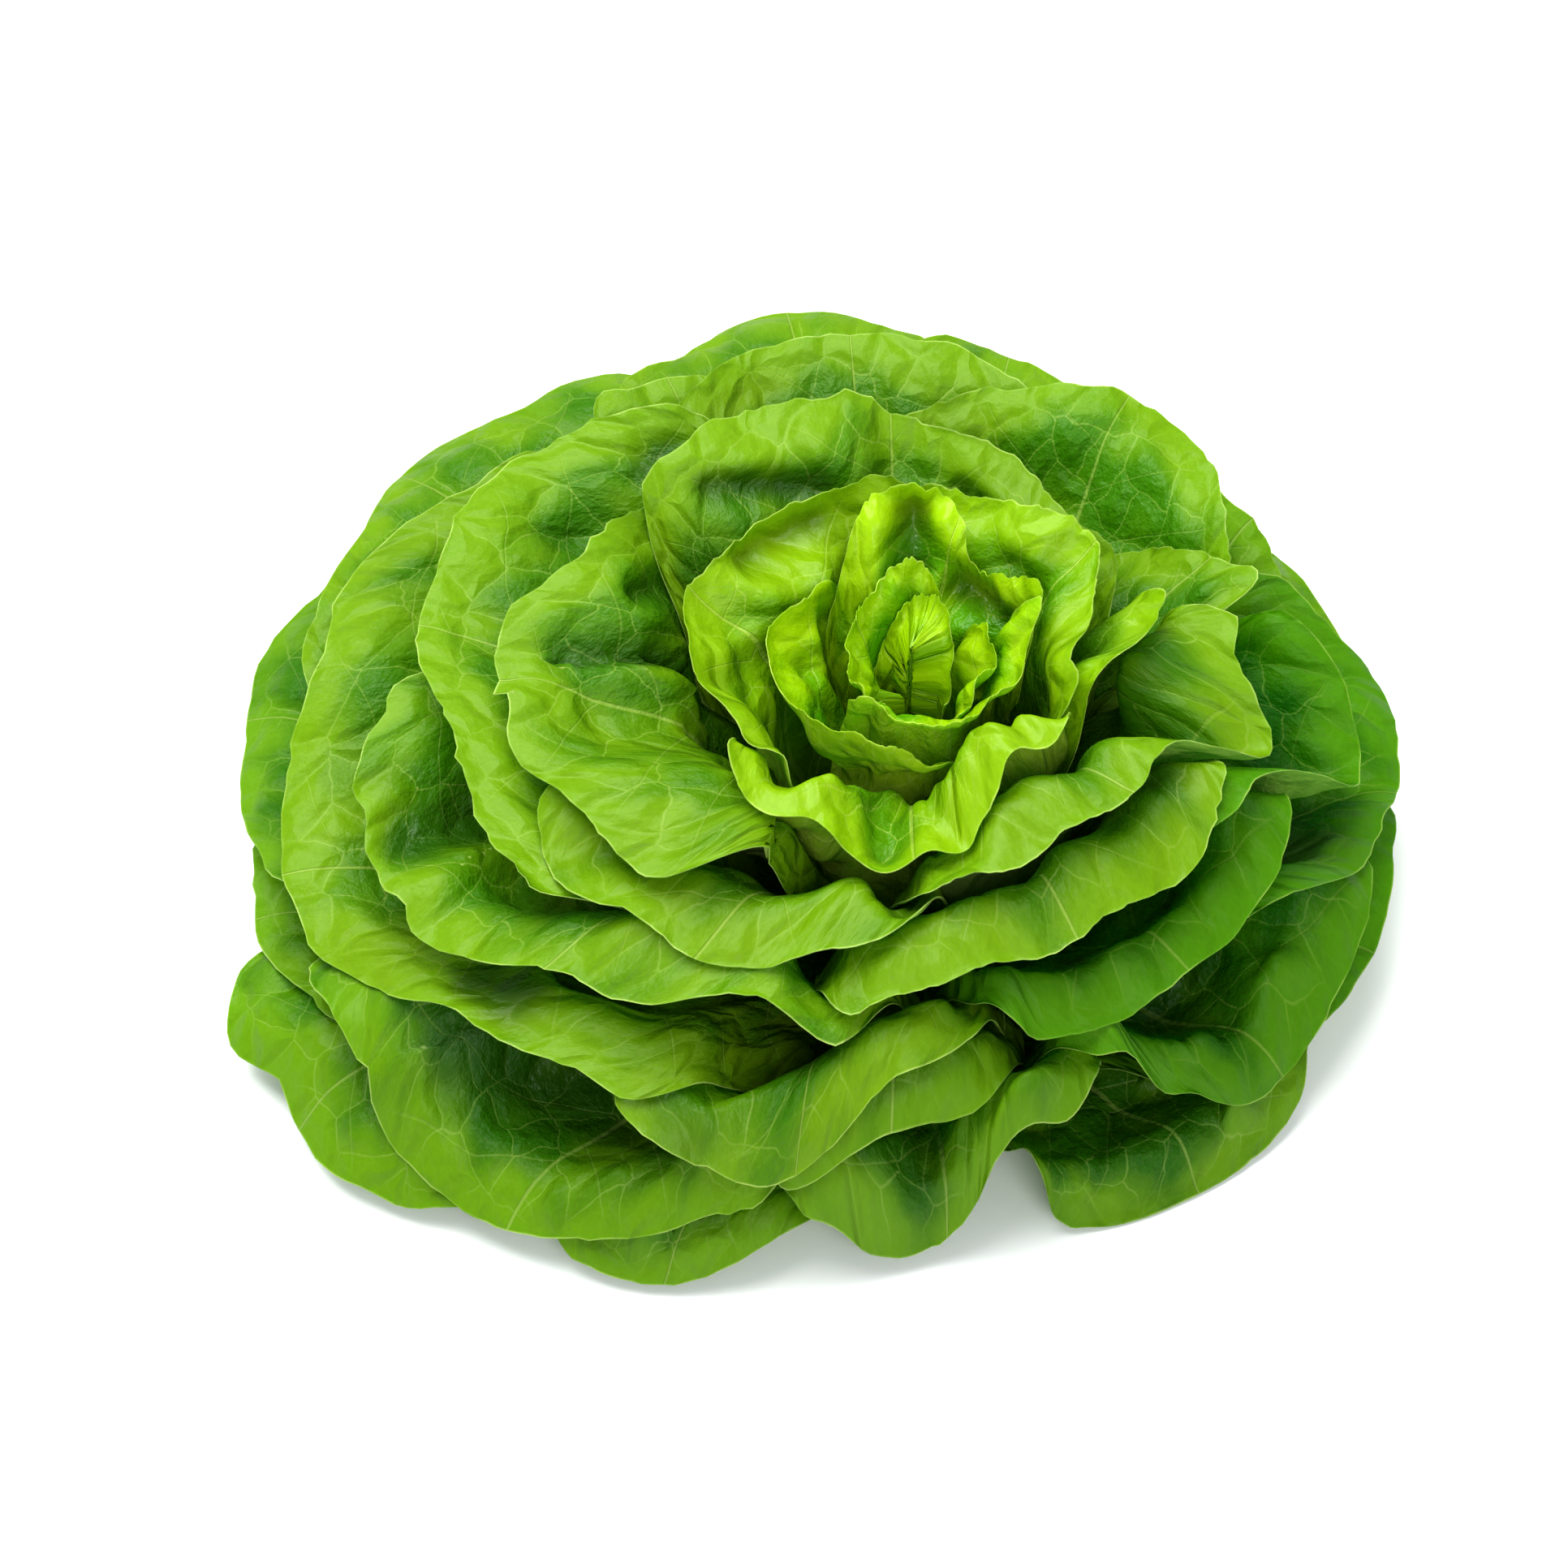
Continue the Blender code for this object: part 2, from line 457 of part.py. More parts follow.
def make_material(name, colour, roughness):
    material = bpy.data.materials.new(name)
    material.use_nodes = True
    shader = material.node_tree.nodes["Principled BSDF"]
    shader.inputs["Base Color"].default_value = (*colour, 1.0)
    shader.inputs["Roughness"].default_value = roughness
    shader.inputs["Metallic"].default_value = 0.0
    return material


def main():
    for old in list(bpy.data.objects):
        bpy.data.objects.remove(old)
    flesh = make_material("stem_flesh", (0.72, 0.78, 0.52), 0.55)
    heart = make_material("heart_leaf", (0.42, 0.66, 0.10), 0.42)
    outer = make_material("outer_leaf", (0.16, 0.42, 0.05), 0.45)
    add_object("stem", *stem_mesh(), flesh)
    drape = Drape()
    for item in LEAVES:
        laid = drape_leaf(drape, item)
        settle(drape, item, *laid)
        add_object(item.name, *leaf_mesh(item, *laid), heart if item.name.startswith(("heart", "ring")) else outer)


main()
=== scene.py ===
"""Looks of a head of butterhead lettuce, resting on the cut face of its stump.

The leaves follow nested sheets that leave the stump one above another, cup upward round the heart
and turn outward near the crest. A point of a leaf is given by its azimuth round the stump in
degrees, its reach along the sheet in millimetres and the sheet it lies on, from 0 at the growing
tip to 100 at the foot. Each leaf is laid over those inside it, then puckered, veined and given a
thin waved rim. Lengths are millimetres until a mesh is made, in metres.
"""
import logging
import math
from dataclasses import dataclass, field
from enum import Enum
from typing import Any

import bpy
import numpy as np
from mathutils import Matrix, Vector


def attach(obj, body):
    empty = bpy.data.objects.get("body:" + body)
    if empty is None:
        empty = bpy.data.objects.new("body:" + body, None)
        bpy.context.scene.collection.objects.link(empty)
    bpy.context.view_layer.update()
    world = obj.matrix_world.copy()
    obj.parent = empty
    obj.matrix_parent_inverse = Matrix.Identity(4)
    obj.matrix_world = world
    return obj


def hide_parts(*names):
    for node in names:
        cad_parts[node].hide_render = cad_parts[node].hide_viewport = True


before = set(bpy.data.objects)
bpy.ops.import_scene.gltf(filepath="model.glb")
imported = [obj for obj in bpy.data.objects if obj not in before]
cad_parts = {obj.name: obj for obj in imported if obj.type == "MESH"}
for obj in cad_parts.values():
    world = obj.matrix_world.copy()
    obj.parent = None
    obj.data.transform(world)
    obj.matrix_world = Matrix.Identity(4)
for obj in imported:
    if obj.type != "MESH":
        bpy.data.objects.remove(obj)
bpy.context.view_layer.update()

MM = 0.001
log = logging.getLogger("lettuce")

Number = float | np.ndarray
Colour = tuple[float, float, float]
Wave = tuple[float, float]  # height and size of a wave of noise, in millimetres

# The stump: its height, its radius at the foot and tip, and how far the dressed one lies inside it.
STEM_HEIGHT = 60.0
STEM_FOOT = 17.0
STEM_TIP = 4.0
STEM_CLEAR = 0.5

# The nest of sheets: how many, how far each is followed, and how far from the foot its crest lies.
SHEETS = 100
LONGEST = 190
CREST = 126.0
# Heights on the stump at which the first and the last sheet leave it.
TIP_START = 60.0
FOOT_START = 3.0
# Bend of a sheet: its cup near the stump, what the cup loses outward, and the degrees of its lip.
CUP, CUP_LOSS = 1.40, 0.62
LIP = 78
FLATTEST = 92.0
# Share by which the nest is wider all round, to the right, at the back and as an oval, the share by
# which its back stands higher, and the distance from the axis at which they are reached.
EVEN, SIDE, BACK, OVAL = 0.04, -0.15, 0.26, 0.06
LIFT = 0.20
HALF_WIDTH = 120.0
# Height that the lowest sheet keeps, and how softly the others come down to it.
FLOOR = 0.8
FLOOR_EASE = 2.5
LEAST_SPACING = 0.12

# The blades as they are laid: thickness, midrib, and the fold, crown and cup across a blade.
BLADE = 0.8
RIB_HEART, RIB_OUTER = 0.4, 1.5
RIB_WIDTH = 0.11
FOLD = 2.2
FOLD_WIDTH = 0.16
CROWN_FRONT, CROWN_BACK = 3.0, 10.0
CUP_FRONT, CUP_BACK = 3.0, 10.0
WAVE_LENGTH = 42.0
BULGE_RADIUS = 75.0  # distance from the axis at which a bulge's width is measured
GAP = 1.86
BASE_REACH = 0.3
BASE_HALF, BASE_LOSS = 46.0, 0.2  # half the angle a base spans, and what it loses a sheet
COLUMNS_WIDE, COLUMNS_NARROW = 13, 9
ROWS_WIDE, ROWS_NARROW = 8, 7
COLUMN_POWER = 1.35
ROW_POWER = 0.9
WIDE = 150.0
FINER = 4
LAY_ROUNDS = 5
NOTHING = -60.0  # sheet number that stands for an empty place in a drape

# The veins and waves of the finished blades.
VEIN_STEP = 19.0
RIM_STEP = 1.4  # millimetres of margin for a degree of azimuth
BLADE_SEED, STUMP_SEED = 1000, 77


def ease(x: Number, low: float, high: float) -> Number:
    """Smooth step from 0 at low to 1 at high.

    Args:
        x: Values to read the step at.
        low: Where the step starts.
        high: Where it ends.

    Returns:
        The step's value at each x.
    """
    t = np.clip((x - low) / (high - low), 0.0, 1.0)
    return t * t * (3.0 - 2.0 * t)


def stem_radius(z: Number) -> Number:
    """Radius of the stump at height z, in millimetres."""
    t = np.clip(np.asarray(z, float) / STEM_HEIGHT, 0.0, 1.0)
    return STEM_FOOT + (STEM_TIP - STEM_FOOT) * t**1.3


def between(table: np.ndarray, row: np.ndarray, column: np.ndarray) -> np.ndarray:
    """Bilinear reading of a table at fractional rows and columns.

    Args:
        table: The table read.
        row: Fractional row numbers.
        column: Fractional column numbers.

    Returns:
        One value for each pair of row and column.
    """
    row = np.clip(row, 0.0, table.shape[0] - 1.001)
    column = np.clip(column, 0.0, table.shape[1] - 1.001)
    i, j = row.astype(int), column.astype(int)
    a, b = row - i, column - j
    near = (1 - b) * table[i, j] + b * table[i, j + 1]
    far = (1 - b) * table[i + 1, j] + b * table[i + 1, j + 1]
    return (1 - a) * near + a * far


def smooth_curve(points: tuple, count: np.ndarray) -> tuple[np.ndarray, float]:
    """Catmull-Rom curve through points of azimuth, reach and sheet.

    Args:
        points: The points it passes.
        count: Places along the curve, from 0 to 1 by length.

    Returns:
        The curve at those places, and its length in millimetres.
    """
    p = np.array(points, float)
    p = np.vstack([2 * p[0] - p[1], p, 2 * p[-1] - p[-2]])
    t = np.linspace(0.0, 1.0, 24, endpoint=False)[:, None]
    fine = []
    for k in range(1, len(p) - 2):
        a, b, c, d = p[k - 1], p[k], p[k + 1], p[k + 2]
        bend = (2 * a - 5 * b + 4 * c - d) * t**2 + (3 * b - a - 3 * c + d) * t**3
        fine.append(0.5 * (2 * b + (c - a) * t + bend))
    fine = np.vstack([*fine, p[-2:-1]])
    steps = np.linalg.norm(np.diff(fine * (1.5, 1.0, 0.0), axis=0), axis=1)
    length = np.concatenate([[0.0], np.cumsum(steps)])
    want = np.asarray(count) * length[-1]
    return np.stack([np.interp(want, length, fine[:, k]) for k in range(3)], -1), float(length[-1])


def refined(grid: np.ndarray) -> np.ndarray:
    """Reads a grid at FINER points for each of its steps, straight between them.

    Args:
        grid: The grid.

    Returns:
        The finer grid.
    """
    for _ in range(2):
        index = np.linspace(0, len(grid) - 1, (len(grid) - 1) * FINER + 1)
        low = np.minimum(index.astype(int), len(grid) - 2)
        part = (index - low)[:, None]
        grid = ((1 - part) * grid[low] + part * grid[low + 1]).T
    return grid


def softened(grid: np.ndarray, times: int) -> np.ndarray:
    """Averages each value of a grid with its neighbours.

    Args:
        grid: The grid.
        times: Rounds of averaging.

    Returns:
        The softer grid.
    """
    for _ in range(times):
        wide = np.pad(grid, 1, mode="edge")
        sides = wide[:-2, 1:-1] + wide[2:, 1:-1] + wide[1:-1, :-2] + wide[1:-1, 2:]
        corners = wide[:-2, :-2] + wide[:-2, 2:] + wide[2:, :-2] + wide[2:, 2:]
        grid = (4 * wide[1:-1, 1:-1] + 2 * sides + corners) / 16.0
    return grid


def spline_weights(index: np.ndarray, count: int) -> np.ndarray:
    """Catmull-Rom weights that read count values at fractional places.

    Args:
        index: Fractional places among the values.
        count: How many values there are.

    Returns:
        One row of weights for each place.
    """
    weights = np.zeros((len(index), count))
    low = np.clip(np.floor(index).astype(int), 0, count - 2)
    t = index - low
    parts = (
        (-1, 0.5 * (-t + 2 * t**2 - t**3)), (0, 0.5 * (2 - 5 * t**2 + 3 * t**3)),
        (1, 0.5 * (t + 4 * t**2 - 3 * t**3)), (2, 0.5 * (-(t**2) + t**3)),
    )
    rows = np.arange(len(index))
    for step, weight in parts:
        np.add.at(weights, (rows, np.clip(low + step, 0, count - 1)), weight)
    return weights


def distances(points: np.ndarray, axis: int) -> np.ndarray:
    """Millimetres along the lines of a grid of points, from its first row or column.

    Args:
        points: The grid.
        axis: 0 to go from row to row, 1 from column to column.

    Returns:
        One value for each point.
    """
    steps = np.linalg.norm(np.diff(points, axis=axis), axis=-1)
    start = np.zeros_like(np.take(steps, [0], axis=axis))
    return np.concatenate([start, np.cumsum(steps, axis=axis)], axis=axis)


@dataclass(frozen=True)
class Leaf:
    """One leaf: where it is seated, its margin from flank to flank, and how it is shaped."""

    name: str
    seat: float
    margin: tuple
    bulges: tuple = ()
    wave: float = 1.5
    fold: float = FOLD

    @property
    def length(self) -> float:
        """Length of its margin, in millimetres."""
        return smooth_curve(self.margin, np.linspace(0, 1, 5))[1]

    @property
    def base_sheet(self) -> float:
        """Sheet at which the leaf leaves the stump."""
        mean = float(np.mean([point[2] for point in self.margin]))
        return mean - 7.0 * float(ease(mean, 50.0, 90.0))

    @property
    def columns(self) -> tuple[np.ndarray, np.ndarray]:
        """Lines of the coarse grid that the leaf is laid with.

        Returns:
            Places across, from -1 to 1, and along, from 0 to 1.
        """
        wide = self.length > WIDE
        even = np.linspace(-1, 1, COLUMNS_WIDE if wide else COLUMNS_NARROW)
        across = np.sign(even) * np.abs(even) ** COLUMN_POWER
        return across, np.linspace(0, 1, ROWS_WIDE if wide else ROWS_NARROW) ** ROW_POWER


def leaf(name: str, seat: float, *margin: tuple, **more: Any) -> Leaf:
    """Writes a leaf down.

    Args:
        name: Its name.
        seat: Azimuth of its base.
        margin: Azimuth, reach and sheet of points along its margin. A point that gives no sheet lies on
            the sheet of the one before it.
        more: Its bulges, wave and fold, where they differ from most leaves'.

    Returns:
        The leaf.
    """
    points = []
    for azimuth, reach, *sheet in margin:
        points.append((azimuth, reach, *(sheet or points[-1][2:])))
    return Leaf(name, seat, tuple(points), **more)


LEAVES = (
    # The heart.
    leaf("heart_bud", 60, (-20, 38, 7), (25, 55, 9), (60, 60, 10), (95, 56), (140, 40, 9), wave=0.5,
         fold=1),
    leaf("heart_curl", 140, (35, 46, 14), (65, 63, 16), (85, 69), (105, 67), (125, 63), (150, 60),
         (185, 57, 15), (221, 56, 13), (245, 53), (264, 38), wave=0.6, fold=1),
    leaf("heart_lobe", -5, (-62, 44, 20), (-40, 56, 22), (-15, 62, 24), (8, 64), (28, 62, 23),
         (48, 46, 20), wave=0.8, fold=1),
    leaf("heart_right", -50, (-152, 48, 27), (-131, 68, 25), (-107, 70, 23), (-74, 71, 25), (-46, 72, 29),
         (-22, 72, 33), (-8, 73, 34), (2, 77), (14, 80), (30, 54), wave=0.4, fold=1.5),
    leaf("heart_back", 85, (4, 54, 38), (21, 79), (40, 73), (58, 70), (68, 79), (80, 83), (98, 83),
         (111, 78), (121, 68), (136, 48), wave=0.4, fold=1.5),
    leaf("heart_left", 205, (108, 48, 42), (124, 65), (141, 66), (158, 67, 43), (177, 66, 41),
         (198, 66, 37), (217, 66, 33), (238, 66, 30), (258, 66, 29), (278, 66, 30), (292, 64, 33),
         (308, 45, 35), wave=0.4, fold=1.5),
    # The ring round the heart.
    leaf("ring_right", 25, (-38, 50, 47), (-20, 81, 46), (-5, 83, 45), (8, 83, 47), (21, 85, 50),
         (33, 89), (47, 87), (68, 82), (88, 79), (104, 50), wave=1),
    leaf("ring_left", 155, (72, 50, 52), (90, 80), (108, 81), (124, 81), (146, 82), (165, 83, 53),
         (181, 82, 51), (198, 82, 50), (215, 80, 49), (227, 75, 50), (242, 48), wave=1),
    leaf("ring_front", 270, (196, 50, 54), (208, 82), (216, 88, 57), (226, 88, 58), (240, 87), (255, 88),
         (271, 88, 60), (281, 89, 61), (291, 88, 57), (303, 88, 53), (318, 88, 50), (332, 86, 47),
         (345, 52, 48), bulges=((232, 60, 20, -22), (262, 60, 20, -20), (294, 60, 21, -22))),
    leaf("ring_outer", 8, (-30, 55, 50), (-10, 87, 51), (4, 90, 53), (12, 91, 57), (20, 90, 60),
         (36, 52)),
    # The second round.
    leaf("second_back", 95, (22, 50, 61), (38, 80, 62), (52, 83), (69, 87), (83, 89), (92, 91), (100, 95),
         (111, 95), (124, 97), (134, 96), (143, 90), (156, 52)),
    leaf("second_left", 185, (110, 46, 62), (124, 81, 63), (132, 86), (142, 91), (152, 95), (162, 98),
         (169, 101, 65), (177, 101, 67), (186, 101), (200, 100, 66), (212, 100), (221, 100),
         (228, 98, 64), (235, 86, 62), (244, 52), bulges=((206, 66, 24, -10), (186, 80, 12, 4))),
    leaf("second_right", 330, (258, 50, 62), (272, 92, 61), (285, 98, 60), (298, 98, 59), (312, 98),
         (327, 98), (340, 98, 61), (347, 98, 66), (352, 100, 71), (357, 100), (362, 98, 69),
         (368, 97, 67), (374, 98, 66), (380, 86, 64), (388, 46)),
    leaf("second_front", 240, (180, 50, 66), (195, 93, 67), (203, 98, 69), (212, 101, 70), (224, 101, 69),
         (236, 101), (245, 100), (254, 99, 66), (264, 98, 64), (272, 94, 63), (279, 80, 62),
         (286, 50, 61)),
    # The third round.
    leaf("third_right", 35, (4, 46, 66), (17, 86, 68), (22, 98, 70), (25, 101), (28, 97), (33, 92),
         (40, 86), (47, 78), (56, 66), (68, 42)),
    leaf("third_left", 160, (102, 50, 70), (117, 92, 71), (129, 101, 72), (140, 103, 73), (150, 106),
         (160, 104), (170, 103, 72), (182, 102, 71), (194, 102, 70), (204, 103), (212, 100),
         (226, 52, 69)),
    leaf("third_front_right", 305, (246, 52, 71), (253, 92), (259, 104, 72), (267, 104, 69), (277, 104),
         (290, 104, 70), (303, 104, 69), (318, 104), (332, 104, 68), (340, 103, 66), (346, 96, 64),
         (358, 48, 63)),
    leaf("third_back_right", 60, (18, 48, 73), (30, 88), (37, 97, 74), (44, 103), (52, 105), (59, 106),
         (66, 103), (74, 98), (84, 93), (95, 80), (106, 48)),
    leaf("third_back", 96, (56, 48, 76), (69, 92), (77, 101), (86, 105), (96, 105), (106, 104), (115, 99),
         (124, 90), (138, 50)),
    leaf("third_front_left", 215, (154, 50, 74), (167, 94, 75), (176, 103, 76), (184, 106, 77),
         (192, 106, 78), (200, 106), (208, 106, 77), (216, 106, 75), (224, 106, 73), (234, 106, 71),
         (245, 106, 70), (253, 106, 72), (259, 104, 73), (267, 85), (276, 48),
         bulges=((193, 84, 16, 7), (214, 88, 14, -4))),
    # The fourth round.
    leaf("fourth_back_left", 118, (94, 50, 77), (104, 96), (112, 101), (119, 103), (127, 100), (140, 52)),
    leaf("fourth_right", -5, (-44, 52, 68), (-32, 94), (-22, 104), (-15, 104, 69), (-9, 104, 72),
         (-4, 104, 76), (1, 105, 80), (6, 105, 81), (11, 104, 80), (16, 104, 78), (21, 101, 76),
         (27, 90, 75), (38, 48, 74)),
    leaf("fourth_front_right", 318, (274, 50, 72), (283, 90, 73), (288, 104, 75), (292, 107, 77),
         (302, 106), (315, 106), (328, 106, 76), (338, 106, 75), (345, 106, 73), (349, 103, 71),
         (355, 90, 70), (364, 48)),
    leaf("fourth_left", 182, (114, 50, 80), (127, 97, 81), (138, 103), (148, 107), (156, 109), (164, 108),
         (173, 108, 82), (182, 109, 83), (191, 109, 84), (199, 108, 82), (208, 107, 80), (217, 107),
         (226, 107, 79), (235, 106, 80), (243, 82), (254, 50)),
    # The fifth round.
    leaf("fifth_front", 250, (220, 50, 76), (226, 86), (230, 106, 77), (235, 113, 79), (240, 115, 81),
         (246, 115, 82), (251, 115, 81), (257, 115, 78), (264, 113, 76), (273, 108), (284, 92), (296, 50),
         fold=6),
    leaf("fifth_back_right", 77, (54, 48, 79), (65, 98), (73, 106), (80, 109), (88, 106), (102, 52)),
    leaf("fifth_back", 102, (70, 48, 80), (83, 103), (91, 112), (98, 117), (105, 116), (112, 109),
         (121, 102), (134, 52)),
    leaf("fifth_back_left", 140, (98, 50, 81), (111, 100, 82), (120, 113), (127, 113), (133, 117),
         (140, 116), (147, 112), (155, 111), (162, 108, 83), (169, 95, 84), (182, 52)),
    leaf("fifth_right", 8, (-40, 50, 78), (-29, 90), (-22, 106), (-16, 108, 80), (-9, 108, 82),
         (-2, 108, 83), (5, 108, 84), (12, 110, 86), (20, 112), (28, 110), (36, 106), (45, 97, 85),
         (58, 48, 84)),
    # The sixth round.
    leaf("sixth_front", 268, (243, 50, 82), (248, 92), (252, 112), (258, 116, 81), (267, 116, 80),
         (276, 113), (287, 96), (300, 50)),
    leaf("sixth_front_right", 325, (288, 52, 79), (297, 95), (303, 113), (308, 114, 83), (315, 114, 86),
         (322, 115, 89), (329, 115), (337, 114, 88), (345, 114, 84), (352, 112, 81), (360, 98, 80),
         (372, 48)),
    leaf("sixth_back_right", 50, (21, 48, 84), (36, 96), (44, 106), (50, 108), (59, 103), (74, 50)),
    leaf("sixth_left", 160, (130, 50, 85), (143, 103, 86), (150, 114, 88), (156, 117), (163, 114),
         (170, 112, 87), (177, 111, 86), (185, 104, 85), (196, 52)),
    leaf("sixth_front_left", 221, (182, 50, 82), (192, 106), (200, 116), (206, 117, 84), (211, 118, 88),
         (217, 118, 91), (223, 119, 93), (229, 119, 92), (236, 118, 88), (244, 117, 84), (251, 114, 83),
         (255, 86, 84), (258, 46)),
    # The outermost leaves, spread over whatever the head stands on.
    leaf("outer_front", 275, (244, 50, 86), (250, 92, 87), (255, 117, 86), (260, 121, 85), (266, 122, 88),
         (272, 122, 90), (278, 122, 88), (283, 121, 83), (289, 119, 80), (297, 114, 82), (304, 95),
         (313, 50, 81)),
    leaf("outer_left", 182, (152, 50, 90), (165, 97, 91), (174, 108, 92), (180, 110), (186, 111),
         (192, 108, 91), (200, 102, 90), (212, 52)),
    leaf("outer_right", -12, (-48, 50, 88), (-36, 96), (-25, 108, 89), (-12, 111, 90), (2, 110),
         (14, 102), (28, 50)),
    leaf("outer_back_right", 45, (8, 50, 91), (22, 100), (36, 110), (50, 112), (64, 108), (78, 98),
         (92, 50)),
    leaf("outer_back", 95, (60, 50, 89), (72, 100), (86, 112), (98, 115), (110, 112), (120, 100, 88),
         (129, 50)),
    leaf("outer_back_left", 146, (113, 50, 91), (120, 99), (128, 112, 92), (142, 113), (155, 106),
         (170, 50)),
    leaf("ground_front_right", 315, (284, 50, 88), (289, 84, 90), (291, 106, 92), (293, 122, 94),
         (298, 135, 95), (305, 141), (312, 138), (321, 131), (330, 121), (337, 107, 94), (345, 92, 92),
         (358, 48, 90)),
    leaf("ground_left", 198, (174, 50, 92), (183, 100, 93), (188, 118, 94), (193, 126), (198, 121),
         (203, 126), (208, 129), (214, 123), (220, 112), (226, 84, 93), (233, 48, 92)),
    leaf("ground_front", 243, (219, 48, 94), (224, 88), (228, 113, 95), (233, 122, 96), (239, 125),
         (246, 122), (252, 114), (257, 100, 95), (261, 80, 94), (267, 48, 93)),
)

# Folds and lumps of single leaves. A row gives the azimuth and reach of both ends, the radius, the
# height inward, how much painted shade darkens the green there, and the radius on the far side if that
# differs.
LUMPS: dict[str, tuple[tuple[float, ...], ...]] = {
    "heart_back": (
        (88, 78, 86, 65, 5, -6, 0.8), (104, 76, 117, 62, 5, 3.5, 0), (75, 77, 63, 72, 4, 3.5, 0),
        (63, 72, 43, 71, 4, 3.5, 0), (63, 63, 32, 65, 5, -5, 0.8),
    ),
    "heart_left": (
        (155, 55, 161, 52, 4, -2, 0.3), (141, 66, 128, 65, 4, 2.5, 0), (208, 53, 280, 65, 7, -3.5, 0),
        (208, 37, 261, 46, 4, 3, 0.5), (215, 31, 258, 39, 6, -4, 0),
    ),
    "heart_right": (
        (273, 70, 296, 70, 6, -2.5, 0),
    ),
    "ring_left": (
        (140, 77, 117, 75, 5, -4, 0.6), (147, 73, 124, 65, 6, 4, 0), (180, 72, 152, 59, 5, -2.5, 0.3),
        (153, 64, 150, 63, 5, 3, 0), (217, 76, 222, 79, 4, 2.5, 0), (202, 77, 205, 72, 5, 3, 0),
    ),
    "ring_right": (
        (354, 70, 358, 54, 6, -4, 0.5), (23, 77, 356, 74, 7, 3.5, 0), (55, 81, 42, 82, 5, 2.5, 0),
        (51, 74, 37, 71, 4, -3, 0.4),
    ),
    "second_back": (
        (131, 88, 110, 80, 5, -5, 0.8), (131, 93, 110, 87, 7, 3, 0), (73, 81, 47, 79, 5, 3, 0),
        (76, 77, 50, 73, 4, -3, 0.4),
    ),
    "second_left": (
        (157, 84, 140, 72, 4, -5, 0.6), (159, 81, 167, 75, 4, 3.5, 0), (180, 97, 172, 73, 4, 5, 0, 18),
        (172, 73, 174, 64, 4, 8, 0, 24), (174, 64, 188, 64, 4, 9, 0, 26),
        (188, 64, 217, 74, 4, 8, 0, 22), (174, 89, 167, 73, 6, -6, 0.8, 1.5),
        (167, 73, 167, 60, 7, -9, 1, 1.5), (167, 60, 174, 52, 8, -10, 1, 1.5),
        (174, 52, 209, 59, 7, -8, 1, 1.5),
    ),
    "second_right": (
        (18, 87, 6, 75, 7, 6, 0), (3, 74, 358, 86, 6, 4, 0), (25, 64, 9, 63, 7, -5, 0.5),
    ),
    "third_left": (
        (129, 90, 125, 90, 5, -4, 0.7), (145, 92, 143, 87, 6, -2.5, 0.4),
    ),
    "third_front_left": (
        (188, 97, 183, 82, 9, -6, 1), (182, 103, 181, 96, 6, -2, 0.4), (197, 103, 193, 91, 5, 5, 0),
        (193, 91, 189, 76, 5, 6, 0), (220, 96, 229, 91, 4, 4, 0), (229, 91, 256, 96, 4, 4, 0),
    ),
    "fourth_left": (
        (207, 97, 213, 97, 7, -5, 1), (210, 79, 220, 79, 8, -4, 0.9), (205, 81, 214, 97, 4.5, 4, 0),
    ),
    "sixth_front_left": (
        (209, 101, 215, 75, 11, -2, 0.8), (207, 117, 209, 92, 4, 3.5, 0),
        (214, 90, 217, 111, 3, -1.5, 0.2),
    ),
    "second_front": (
        (203, 92, 209, 83, 4, 4, 0),
    ),
    "fifth_front": (
        (232, 100, 241, 110, 8, -2, 0.5),
    ),
    "outer_front": (
        (270, 57, 273, 105, 8, -3, 0.5),
    ),
    "third_front_right": (
        (336, 42, 340, 86, 8, -3, 0.7),
    ),
    "fourth_front_right": (
        (307, 79, 331, 79, 8, -3, 0.6),
    ),
    "sixth_front_right": (
        (328, 65, 339, 70, 9, -2, 0.7), (305, 106, 306, 115, 6, 4, 0),
    ),
    "ring_front": (
        (212, 80, 238, 78, 10, 8, 0), (218, 64, 236, 66, 9, 6, 0), (247, 76, 250, 76, 6, -4, 0),
        (262, 76, 261, 67, 7, -9, 0), (273, 70, 277, 85, 7, 5, 0), (284, 75, 292, 80, 8, 4, 0),
        (280, 72, 287, 80, 7, 5, 0), (310, 82, 327, 76, 8, 9, 0),
    ),
}


